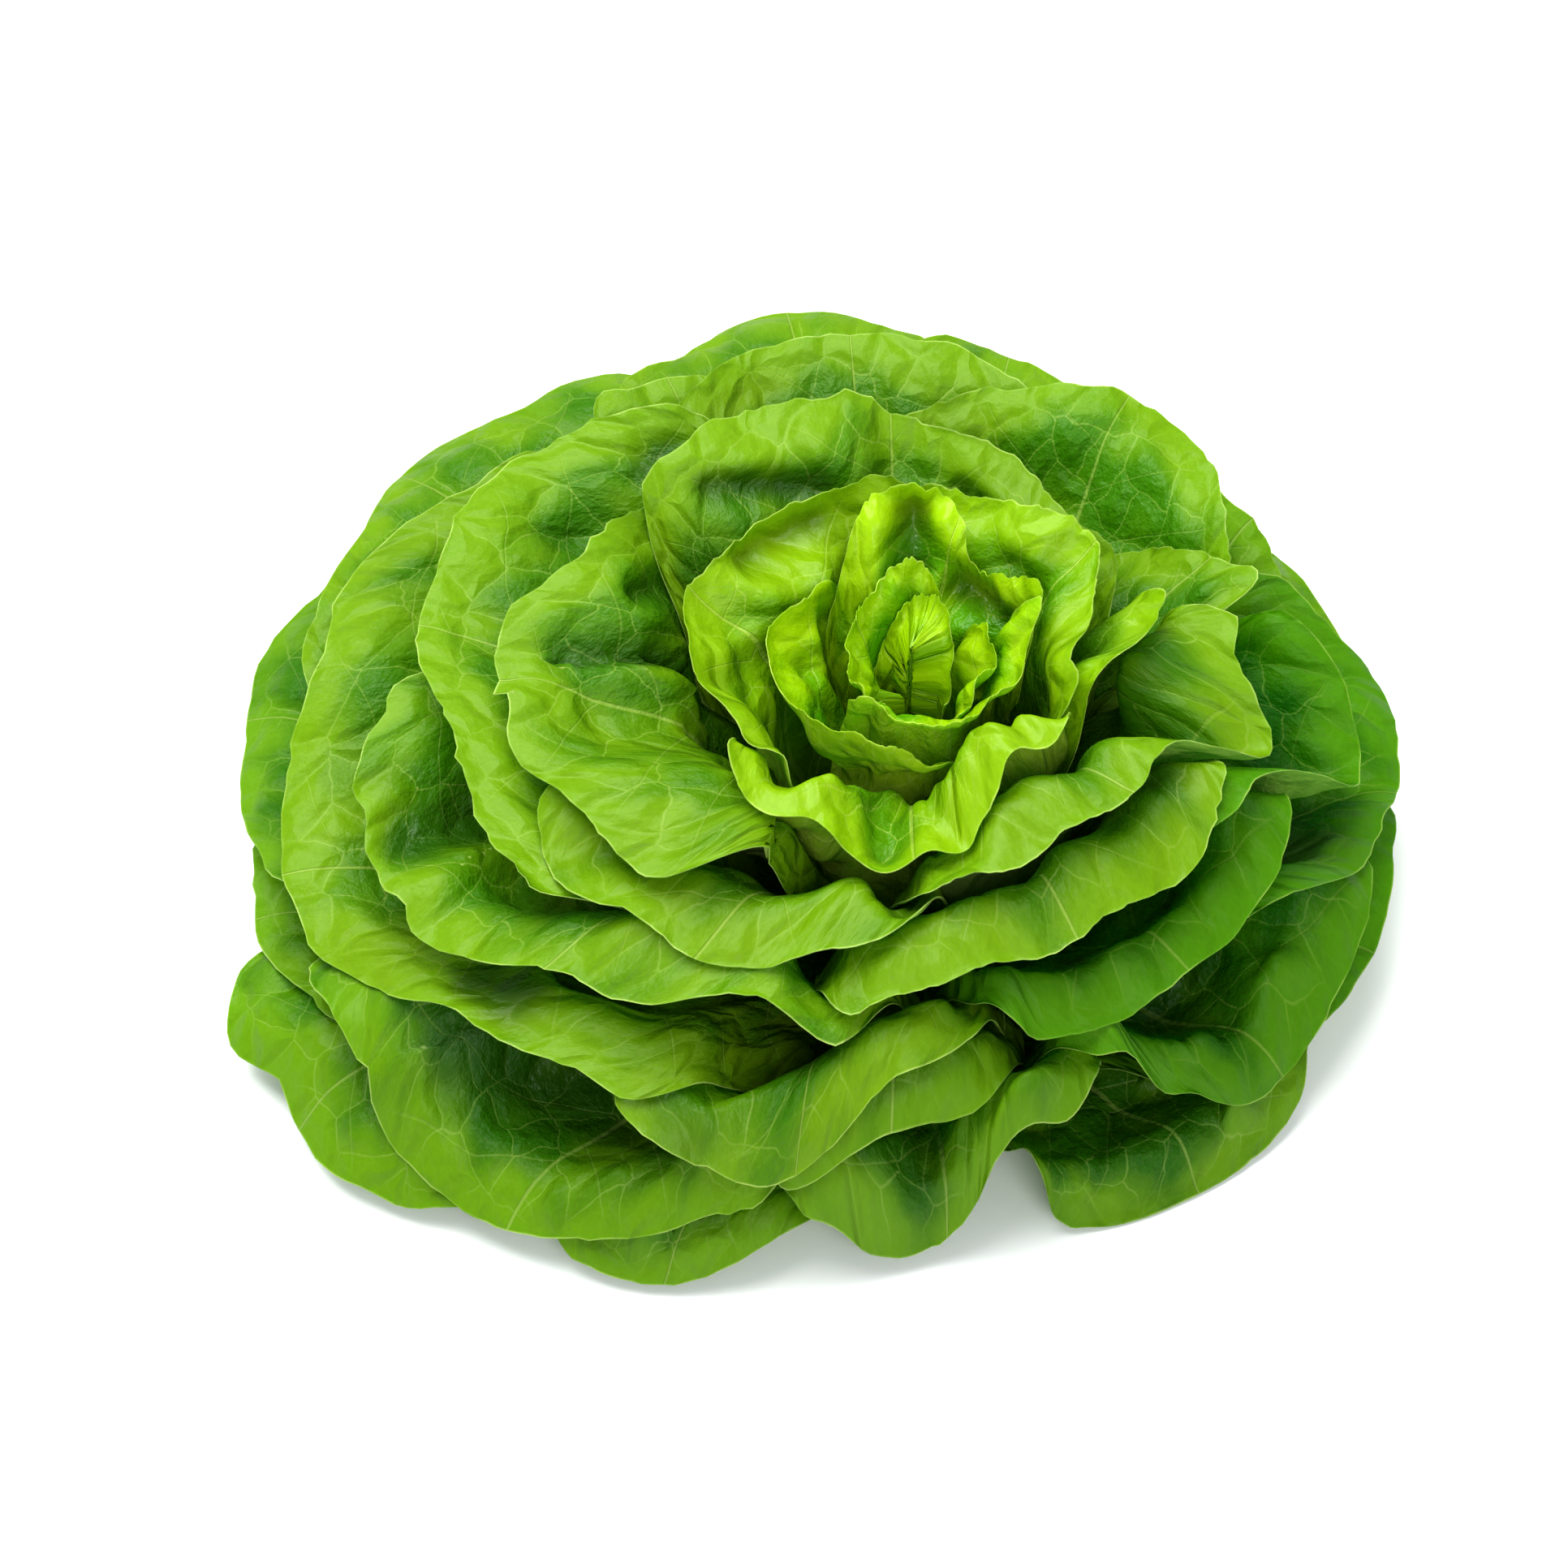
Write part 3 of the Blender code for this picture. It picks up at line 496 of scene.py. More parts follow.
class Nest:
    """The nested sheets that every leaf follows."""

    def __init__(self) -> None:
        """Follows every sheet outward from the stump, a millimetre at a time."""
        z = TIP_START + (FOOT_START - TIP_START) * np.linspace(0.0, 1.0, SHEETS + 1)
        r = stem_radius(z)
        r[0] = 0.6
        radii, heights = [r], [z]
        for _ in range(LONGEST):
            angle = self.heading(r, z)
            angle = self.heading(r + 0.5 * np.sin(angle), z + 0.5 * np.cos(angle))
            r, z = r + np.sin(angle), z + np.cos(angle)
            radii.append(r)
            heights.append(z)
        self.radius = np.array(radii).T
        self.height = np.array(heights).T

    @staticmethod
    def heading(radius: np.ndarray, height: np.ndarray) -> np.ndarray:
        """Direction in which a sheet passes a point.

        Args:
            radius: Distance of the point from the axis.
            height: Its height.

        Returns:
            The angle from straight up, in radians.
        """
        far = np.hypot(radius, height) / CREST
        out = np.arctan2(radius, np.maximum(height, -20.0))
        cup = CUP - CUP_LOSS * ease(far, 0.15, 0.80)
        flat = np.sqrt(np.sin(np.minimum(out, math.pi / 2)))
        lip = math.radians(LIP) * ease(far, 0.86, 1.06) * flat
        return np.minimum(out * cup, math.radians(FLATTEST)) + lip

    def place(self, azimuth: Number, reach: Number, sheet: Number) -> np.ndarray:
        """Points in space of places in the nest.

        Args:
            azimuth: Degrees round the stump.
            reach: Millimetres along the sheet.
            sheet: The sheet's number.

        Returns:
            Three coordinates for each place, in millimetres.
        """
        given = (np.asarray(value, float) for value in (azimuth, reach, sheet))
        azimuth, reach, sheet = np.broadcast_arrays(*given)
        turn = np.radians(azimuth)
        r = between(self.radius, sheet, reach)
        z = between(self.height, sheet, reach)
        z = z * (1 + LIFT * np.sin(turn) * r / HALF_WIDTH)
        z = FLOOR + FLOOR_EASE * np.logaddexp(0.0, z / FLOOR_EASE)
        spread = EVEN + SIDE * np.cos(turn) + BACK * np.sin(turn) + OVAL * np.cos(2 * turn)
        r = r * (1 + spread * ease(r, 8.0, 28.0) * r / HALF_WIDTH)
        return np.stack([r * np.cos(turn), r * np.sin(turn), z], -1)

    def spacing(self, azimuth: np.ndarray, reach: np.ndarray, sheet: np.ndarray) -> np.ndarray:
        """Millimetres, square to the surface, from each sheet to the next one out.

        Args:
            azimuth: Degrees round the stump.
            reach: Millimetres along the sheet.
            sheet: The sheet's number.

        Returns:
            One value for each place.
        """
        along = self.place(azimuth, reach + 0.5, sheet) - self.place(azimuth, reach - 0.5, sheet)
        across = self.place(azimuth, reach, sheet + 0.5) - self.place(azimuth, reach, sheet - 0.5)
        along = along / np.maximum(np.linalg.norm(along, axis=-1, keepdims=True), 1e-6)
        rest = across - (across * along).sum(-1, keepdims=True) * along
        return np.maximum(np.linalg.norm(rest, axis=-1), LEAST_SPACING)

    def field(self, item: Leaf, across: np.ndarray, along: np.ndarray) -> tuple[np.ndarray, ...]:
        """Azimuth, reach and wished sheet of a leaf over a grid.

        Args:
            item: The leaf.
            across: Places across it, from -1 to 1.
            along: Places along it, from 0 at the base to 1 at the margin.

        Returns:
            Three grids, one row for each place across.
        """
        curve, length = smooth_curve(item.margin, (across + 1) / 2)
        azimuth_rim, reach_rim, sheet_rim = curve.T
        base_sheet = item.base_sheet
        u, v = np.meshgrid(across, along, indexing="ij")
        azimuth_base = item.seat + (BASE_HALF - BASE_LOSS * base_sheet) * u
        azimuth = azimuth_base + (azimuth_rim[:, None] - azimuth_base) * v**0.75
        reach = BASE_REACH + (reach_rim[:, None] - BASE_REACH) * v
        sheet = base_sheet + (sheet_rim[:, None] - base_sheet) * ease(v, 0.15, 1.0)
        gap = self.spacing(azimuth, reach, sheet)
        push = item.fold * np.exp(-((u / FOLD_WIDTH) ** 2)) * ease(v, 0.0, 0.25) * (1 - 0.6 * v)
        back = ease(np.sin(np.radians(azimuth)), -0.7, 0.8)
        outer = ease(base_sheet, 64.0, 72.0)
        full = 0.45 + 0.55 * ease(base_sheet, 20.0, 55.0)
        crown = (CROWN_FRONT + (CROWN_BACK - CROWN_FRONT) * back) * full
        crown = crown * (1 - u**4) * ease(v, 0.30, 0.75) * (1 - ease(v, 0.72, 1.0))
        belly = (CUP_FRONT + (CUP_BACK - CUP_FRONT) * back) * (1 - ease(base_sheet, 78.0, 92.0))
        belly = belly * (1 - 0.6 * u**2) * np.sin(math.pi * v**1.15) ** 1.3
        push = push + outer * belly - (1 - outer) * crown
        phase = item.seat * 0.37 + base_sheet
        count = max(2.0, round(length / WAVE_LENGTH))
        push = push + item.wave * v**3 * np.sin(math.pi * count * u + phase)
        slow = np.sin(2.3 * math.pi * u + 4.0 * v + 1.7 * phase)
        push = push + 0.7 * item.wave * ease(v, 0.1, 0.6) * slow
        for centre, out, radius, height in item.bulges:
            width = (azimuth - centre) * math.pi / 180.0 * BULGE_RADIUS
            push = push + height * np.exp(-(width**2 + (reach - out) ** 2) / radius**2)
        return azimuth, reach, sheet + push / gap


def rib_height(item: Leaf, u: np.ndarray, v: np.ndarray) -> np.ndarray:
    """How far the midrib stands out from the back of the blade, in millimetres."""
    base = RIB_HEART + (RIB_OUTER - RIB_HEART) * ease(item.base_sheet, 35.0, 75.0)
    return base * np.exp(-((u / RIB_WIDTH) ** 2)) * (1 - v) ** 1.2


@dataclass
class Drape:
    """The outermost sheet reached so far, over cells of azimuth and reach.

    There are per_degree cells to a degree, and a cell is `cell` millimetres of reach. A surface
    slopes away on all its sides, by `slope` sheets a cell for `rounds` cells.
    """

    nest: Nest
    per_degree: int = 1
    cell: float = 2.0
    rounds: int = 14
    slope: float = 0.5
    top: np.ndarray = field(init=False)

    def __post_init__(self) -> None:
        """Starts empty."""
        self.top = np.full((360 * self.per_degree, int(LONGEST / self.cell)), NOTHING)

    def over(self, azimuth: np.ndarray, reach: np.ndarray) -> np.ndarray:
        """Outermost sheet reached at each azimuth and reach."""
        wrapped = np.vstack([self.top, self.top[:1]])
        return between(wrapped, np.mod(azimuth, 360.0) * self.per_degree, reach / self.cell)

    def add(self, azimuth: np.ndarray, reach: np.ndarray, sheet: np.ndarray) -> None:
        """Marks a surface.

        Args:
            azimuth: Azimuths of its points.
            reach: Their reaches.
            sheet: The sheets they lie on.
        """
        turns, cells = self.top.shape
        i = np.mod(np.rint(azimuth * self.per_degree).astype(int), turns)
        j = np.clip(np.rint(reach / self.cell).astype(int), 0, cells - 1)
        np.maximum.at(self.top, (i, j), sheet)
        for _ in range(self.rounds):
            sides = np.maximum(np.roll(self.top, 1, 0), np.roll(self.top, -1, 0))
            ends = np.full_like(self.top, NOTHING)
            ends[:, 1:] = self.top[:, :-1]
            ends[:, :-1] = np.maximum(ends[:, :-1], self.top[:, 1:])
            self.top = np.maximum(self.top, np.maximum(sides, ends) - self.slope)

    def lay(self, item: Leaf) -> np.ndarray:
        """Lays a leaf over those already there, and marks it.

        Args:
            item: The leaf.

        Returns:
            How many sheets it was pushed outward, over its coarse grid.
        """
        across, along = item.columns
        azimuth, reach, wished = self.nest.field(item, across, along)
        fine_azimuth, fine_reach = refined(azimuth), refined(reach)
        below = self.over(fine_azimuth, fine_reach)
        sheet = wished
        rows, cols = ((n - 1) * FINER + 1 for n in sheet.shape)
        for _ in range(LAY_ROUNDS):
            fine = refined(sheet)
            short = below + (BLADE + GAP) / self.nest.spacing(fine_azimuth, fine_reach, fine) - fine
            short = np.pad(np.maximum(short, 0.0), FINER)
            rise = np.zeros_like(sheet)
            for i in range(1 - FINER, FINER):
                for j in range(1 - FINER, FINER):
                    weight = (1 - abs(i) / FINER) * (1 - abs(j) / FINER)
                    seen = short[FINER + i : FINER + i + rows : FINER, FINER + j : FINER + j + cols : FINER]
                    rise = np.maximum(rise, weight * seen)
            sheet = sheet + rise
        u, v = np.meshgrid(across, along, indexing="ij")
        back = sheet + rib_height(item, u, v) / self.nest.spacing(azimuth, reach, sheet)
        self.add(*(refined(refined(grid)) for grid in (azimuth, reach, back)))
        return sheet - wished


class Noise:
    """Smooth seeded noise over a plane of millimetres, between -1 and 1."""

    def __init__(self, seed: int) -> None:
        """Draws the table of values that the noise runs through."""
        self.table = np.random.default_rng(seed).uniform(-1.0, 1.0, (61, 67))

    def read(self, x: np.ndarray, y: np.ndarray, size: float) -> np.ndarray:
        """Noise at each point.

        Args:
            x: Millimetres across.
            y: Millimetres along.
            size: Millimetres from one value to the next.

        Returns:
            One value for each point.
        """
        row, column = x / size + 30.3, y / size + 20.7
        i, j = np.floor(row).astype(int), np.floor(column).astype(int)
        a, b = row - i, column - j
        a, b = a * a * (3 - 2 * a), b * b * (3 - 2 * b)
        wide, deep = self.table.shape
        corner = [self.table[(i + p) % wide, (j + q) % deep] for p in (0, 1) for q in (0, 1)]
        return (1 - a) * ((1 - b) * corner[0] + b * corner[1]) + a * ((1 - b) * corner[2] + b * corner[3])


@dataclass
class Laid:
    """A leaf laid in the nest, before its relief, as grids with a row for each place across."""

    item: Leaf
    u: np.ndarray
    v: np.ndarray
    azimuth: np.ndarray
    reach: np.ndarray
    sheet: np.ndarray
    middle: np.ndarray

    def __post_init__(self) -> None:
        """Measures each point's millimetres from the midrib, the base and the margin."""
        side, self.along_mm = distances(self.middle, 0), distances(self.middle, 1)
        self.across_mm = side - side[len(side) // 2]
        top = self.along_mm[:, -1:] - self.along_mm
        self.rim_mm = np.minimum(top, np.minimum(side, side[-1:] - side))


@dataclass
class Blade:
    """The finished surface of one leaf: its two faces, and what its finish reads over them."""

    laid: Laid
    inner: np.ndarray
    outer: np.ndarray
    phase: np.ndarray
    # The tone, with painted shade in the recesses and painted light on the raised lumps, then the painted
    # shade alone.
    shade: np.ndarray
    painted_pocket_shade: np.ndarray


@dataclass
class LeafMaker:
    """Turns each leaf's plan into a finely waved blade that lies clear of those inside it.

    Lengths are millimetres. A blade's faces are about `pitch` wide, and it has `rows` rows of points.
    """

    nest: Nest
    pitch: float = 2.0
    fewest: int = 52
    most: int = 118
    rows: int = 46
    thickness: float = 0.5
    rim_thickness: float = 0.22
    clearance: float = 0.45
    vein_rise: float = 0.85
    vein_bend: float = 0.0025
    pucker: float = 2.6
    pucker_sizes: tuple[float, float] = (23.0, 9.0)
    swell: float = 3.0
    swell_size: float = 31.0
    settle: float = 0.6
    shoulder: float = 8.0
    spread: float = 0.22
    ruffle: float = 0.25
    bends: tuple[Wave, Wave] = ((4.0, 33.0), (3.5, 29.0))
    ruffles: tuple[Wave, Wave] = ((0.9, 5.5), (1.1, 11.0))
    teeth: tuple[Wave, Wave] = ((0.7, 2.2), (0.8, 6.0))
    shade_size: float = 17.0
    full_length: float = 190.0
    coarse: Drape = field(init=False)
    fine: Drape = field(init=False)

    def __post_init__(self) -> None:
        """Starts with nothing laid."""
        self.coarse = Drape(self.nest)
        self.fine = Drape(self.nest, per_degree=2, cell=1.0, rounds=8, slope=0.35)

    def lay(self, item: Leaf) -> Laid:
        """Lays a leaf over a fine grid, as the coarse drape pushes it.

        Args:
            item: The leaf.

        Returns:
            The leaf before its relief.
        """
        pushed = self.coarse.lay(item)
        count = int(np.clip(round(item.length * 0.9 / self.pitch), self.fewest, self.most)) | 1
        u_line = np.linspace(-1, 1, count)
        u_line = 0.75 * u_line + 0.25 * np.sign(u_line) * np.abs(u_line) ** 1.8
        t = np.linspace(0, 1, self.rows - 1)
        v_line = np.append(0.55 * t + 0.45 * (1 - (1 - t) ** 1.7), 1.0)
        v_line[-2] = 1.0 - 0.006
        u, v = np.meshgrid(u_line, v_line, indexing="ij")
        azimuth, reach, wished = self.nest.field(item, u_line, v_line)
        across, along = item.columns
        even = np.sign(u_line) * np.abs(u_line) ** (1 / COLUMN_POWER)
        left = spline_weights((even + 1) / 2 * (len(across) - 1), len(across))
        right = spline_weights(v_line ** (1 / ROW_POWER) * (len(along) - 1), len(along))
        sheet = wished + left @ pushed @ right.T
        return Laid(item, u, v, azimuth, reach, sheet, self.nest.place(azimuth, reach, sheet))

    def relief(self, laid: Laid, noise: Noise, x: np.ndarray, y: np.ndarray) -> np.ndarray:
        """Puckers, swelling waves and shoulder of a blade.

        Args:
            laid: The leaf as it was laid.
            noise: Its own noise.
            x: Bent millimetres across.
            y: Bent millimetres along.

        Returns:
            Millimetres by which each point is lifted inward.
        """
        v = laid.v
        free = ease(v, 0.12, 0.5) * ease(laid.rim_mm, 0.0, 12.0)
        near_rib = 0.35 + 0.65 * ease(np.abs(laid.across_mm), 0.8, 8.0)
        small = float(np.clip(laid.item.length / self.full_length, 0.35, 1.0))
        wide, fine = self.pucker_sizes
        puff = np.abs(noise.read(x, y, wide)) ** 0.7 + 0.55 * np.abs(noise.read(x + 350.0, y, fine)) ** 0.8
        lift = small * self.pucker * free * near_rib * puff
        calm = 0.35 + 0.65 * ease(laid.rim_mm, 0.0, 14.0)
        swell = noise.read(x, y + 200.0, self.swell_size)
        lift = lift + small * self.swell * calm * ease(v, 0.12, 0.5) * swell
        front = 1 - ease(np.sin(np.radians(laid.azimuth)), -0.85, 0.25)
        base = laid.item.base_sheet
        round_out = ease(base, 57.0, 62.0) * (1 - ease(base, 74.0, 83.0))
        bench = ease(v, 0.40, 0.80) * (1 - ease(v, 0.84, 1.0)) * (1 - laid.u**6)
        return lift + self.shoulder * front * round_out * bench

    @staticmethod
    def lumps(laid: Laid) -> tuple[np.ndarray, np.ndarray]:
        """What a leaf's own folds and lumps give each point.

        Args:
            laid: The leaf as it was laid.

        Returns:
            Millimetres inward, and how much painted shade each point gets in the recess of a fold, from 0 to
            1.
        """
        place = np.stack([laid.across_mm, laid.along_mm], -1)
        high, low, painted_shade = (np.zeros_like(laid.reach) for _ in range(3))
        rows = LUMPS.get(laid.item.name, ())
        for turn_a, reach_a, turn_b, reach_b, radius, height, deep, *far_side in rows:
            beyond = far_side[0] if far_side else radius
            ends, flat = [], []
            for turn, out in ((turn_a, reach_a), (turn_b, reach_b)):
                off = np.mod(laid.azimuth - turn + 180.0, 360.0) - 180.0
                near = np.argmin((off * 1.3) ** 2 + (laid.reach - out) ** 2)
                spot = np.unravel_index(near, laid.reach.shape)
                ends.append(laid.middle[spot])
                flat.append(place[spot])
            line = ends[1] - ends[0]
            part = np.clip(((laid.middle - ends[0]) @ line) / max(float(line @ line), 1e-6), 0.0, 1.0)
            far = np.linalg.norm(laid.middle - ends[0] - part[..., None] * line, axis=-1)
            way, off = flat[1] - flat[0], place - flat[0]
            past = ease(way[0] * off[..., 1] - way[1] * off[..., 0], -1.0, 1.0)
            bell = np.exp(-((far / (radius + (beyond - radius) * past)) ** 2))
            high, low = np.maximum(high, height * bell), np.minimum(low, height * bell)
            # Painted shade: the recess of a fold is darkened across its own width.
            wide = np.where(deep > 0, radius + (beyond - radius) * past, 1.0)
            painted_shade = np.maximum(painted_shade, deep * np.exp(-((far / wide) ** 2)))
        return high + low, painted_shade

    def settled(self, azimuth: np.ndarray, reach: np.ndarray, sheet: np.ndarray) -> np.ndarray:
        """Moves a fine grid clear of the blades inside it, as softly as it can.

        Args:
            azimuth: Azimuths of the grid.
            reach: Reaches of the grid.
            sheet: Sheets it would lie on.

        Returns:
            The sheets it lies on.
        """
        clear = (self.thickness + self.clearance) / self.nest.spacing(azimuth, reach, sheet)
        need = self.fine.over(azimuth, reach) + clear
        rows, cols = need.shape
        for _ in range(4):
            high = np.maximum(need - sheet, 0.0)
            wide = np.pad(high, 2, mode="edge")
            for i in range(5):
                for j in range(5):
                    high = np.maximum(high, wide[i : i + rows, j : j + cols])
            sheet = sheet + softened(high, 3)
        return np.maximum(sheet, need)

    def make(self, item: Leaf, number: int) -> Blade:
        """Lays and finishes one leaf.

        Args:
            item: The leaf.
            number: Its place in the order of laying, which seeds its own waves.

        Returns:
            The finished blade.
        """
        laid = self.lay(item)
        azimuth, v = laid.azimuth, laid.v
        noise = Noise(BLADE_SEED + number)
        (high, size), (high_2, size_2) = self.bends
        x = laid.across_mm + high * noise.read(laid.across_mm, laid.along_mm, size)
        y = laid.along_mm + high_2 * noise.read(laid.across_mm + 400.0, laid.along_mm, size_2)
        out = np.abs(x)
        phase = (y - self.vein_rise * out + self.vein_bend * out**2) / VEIN_STEP
        lumps, painted_pocket_shade = self.lumps(laid)
        rim = azimuth * RIM_STEP
        (high, size), (high_2, size_2) = self.ruffles
        ruffle = high * noise.read(rim + 300.0, 10.0 * v, size)
        ruffle = ruffle + high_2 * noise.read(rim, 8.0 * v + 77.0, size_2)
        lift = self.relief(laid, noise, x, y) + lumps - self.ruffle * np.clip(v, 0, 1) ** 7 * ruffle
        sheet = laid.sheet - (lift - self.settle) / self.nest.spacing(azimuth, laid.reach, laid.sheet)
        (high, size), (high_2, size_2) = self.teeth
        teeth = high * noise.read(rim + 50.0, np.zeros_like(v), size)
        teeth = teeth + high_2 * noise.read(rim + 150.0, np.zeros_like(v), size_2)
        reach = laid.reach + teeth * v**9
        sheet = self.settled(azimuth, reach, sheet)
        middle = self.nest.place(azimuth, reach, sheet)
        rib = rib_height(item, laid.u, v)
        back = sheet + (rib + 0.1) / self.nest.spacing(azimuth, reach, sheet)
        self.fine.add(*(refined(grid) for grid in (azimuth, reach, back)))
        normal = np.cross(np.gradient(middle, axis=1), np.gradient(middle, axis=0))
        normal /= np.maximum(np.linalg.norm(normal, axis=-1, keepdims=True), 1e-9)
        half = self.rim_thickness + (self.thickness - self.rim_thickness) * ease(laid.rim_mm, 0.0, 4.0)
        half = half[..., None] / 2
        # Tone: random patches and an offset for each leaf, plus painted shade in the recesses of the folds.
        shade = 0.5 + 0.5 * noise.read(x * 0.7 + 500.0, y * 0.7, self.shade_size) + 0.8 * painted_pocket_shade
        # Painted light: raised lumps get a lighter green.
        shade = shade + self.spread * math.sin(2.4 * number) - 0.13 * np.maximum(lumps, 0.0)
        inner, outer = middle + normal * half, middle - normal * (half + rib[..., None])
        return Blade(laid, inner, outer, phase, shade, painted_pocket_shade)


class Signal:
    """A socket of a shader, with arithmetic that adds Math nodes."""

    def __init__(self, graph: "Graph", socket: bpy.types.NodeSocket) -> None:
        """Wraps an output socket of this graph."""
        self.graph = graph
        self.socket = socket

    def maths(self, operation: str, *terms: "Signal | float") -> "Signal":
        """Result of a Math node with these terms, in order."""
        return self.graph.node("ShaderNodeMath", {"operation": operation}, dict(enumerate(terms)))

    def __add__(self, other: "Signal | float") -> "Signal":
        """This plus another."""
        return self.maths("ADD", self, other)

    __radd__ = __add__

    def __sub__(self, other: "Signal | float") -> "Signal":
        """This less another."""
        return self.maths("SUBTRACT", self, other)

    def __rsub__(self, other: float) -> "Signal":
        """Another less this."""
        return self.maths("SUBTRACT", other, self)

    def __mul__(self, other: "Signal | float") -> "Signal":
        """This times another."""
        return self.maths("MULTIPLY", self, other)

    __rmul__ = __mul__

    def __abs__(self) -> "Signal":
        """This without its sign."""
        return self.maths("ABSOLUTE", self)

    def fraction(self) -> "Signal":
        """What is left of this above its whole part."""
        return self.maths("FRACT", self)

    def step(self, low: "Signal | float", high: "Signal | float") -> "Signal":
        """Smooth step of this from 0 at low to 1 at high."""
        settings = {"interpolation_type": "SMOOTHSTEP"}
        return self.graph.node("ShaderNodeMapRange", settings, {0: self, 1: low, 2: high})


class Graph:
    """A material's nodes, added one call at a time."""

    def __init__(self, name: str) -> None:
        """Makes an empty material.

        Args:
            name: The material's name.
        """
        self.material = bpy.data.materials.new(name)
        self.material.use_nodes = True
        self.tree = self.material.node_tree
        self.tree.nodes.clear()

    def node(
        self, kind: str, settings: dict[str, Any] | None = None, inputs: dict[Any, Any] | None = None,
        output: int | str = 0,
    ) -> Signal:
        """Adds a node.

        Args:
            kind: The node's type.
            settings: Its settings, set before the sockets.
            inputs: Values or signals, by the socket's number or name.
            output: The output wanted.

        Returns:
            That output.
        """
        made = self.tree.nodes.new(kind)
        for key, value in (settings or {}).items():
            setattr(made, key, value)
        for key, value in (inputs or {}).items():
            if isinstance(value, Signal):
                self.tree.links.new(value.socket, made.inputs[key])
            else:
                made.inputs[key].default_value = value
        return Signal(self, made.outputs[output])

    def vector(self, operation: str, inputs: dict[Any, Any], output: int | str = 0) -> Signal:
        """Result of a Vector Math node."""
        return self.node("ShaderNodeVectorMath", {"operation": operation}, inputs, output)

    def mix(self, first: Any, second: Any, factor: Signal | float, blend: str = "MIX") -> Signal:
        """Mixes two colours.

        Args:
            first: The first, a signal or three numbers.
            second: The second, likewise.
            factor: The share of the second.
            blend: How it is laid over the first.

        Returns:
            The colour between them.
        """
        first, second = (c if isinstance(c, Signal) else (*c, 1.0) for c in (first, second))
        settings = {"data_type": "RGBA", "blend_type": blend}
        return self.node("ShaderNodeMix", settings, {0: factor, 6: first, 7: second}, 2)

    def attribute(self, name: str) -> Signal:
        """Value of a mesh's own attribute."""
        return self.node("ShaderNodeAttribute", {"attribute_name": name}, output="Fac")

    def noise(
        self, where: Signal, scale: float, detail: float = 2.0, rough: float = 0.5, dimensions: str = "3D"
    ) -> Signal:
        """Noise texture at these coordinates."""
        inputs = {"Vector": where, "Scale": scale, "Detail": detail, "Roughness": rough}
        return self.node("ShaderNodeTexNoise", {"noise_dimensions": dimensions}, inputs)

    def cell_edges(self, where: Signal, size: float) -> Signal:
        """Distance to the edges of cells of this size on a map, as a share of a cell."""
        settings = {"voronoi_dimensions": "2D", "feature": "DISTANCE_TO_EDGE"}
        return self.node("ShaderNodeTexVoronoi", settings, {"Vector": where, "Scale": 1 / size}, "Distance")

    def close(self, surface: Signal) -> bpy.types.Material:
        """Ends the material.

        Args:
            surface: The shader of its surface.

        Returns:
            The material.
        """
        end = self.tree.nodes.new("ShaderNodeOutputMaterial")
        self.tree.links.new(surface.socket, end.inputs["Surface"])
        return self.material


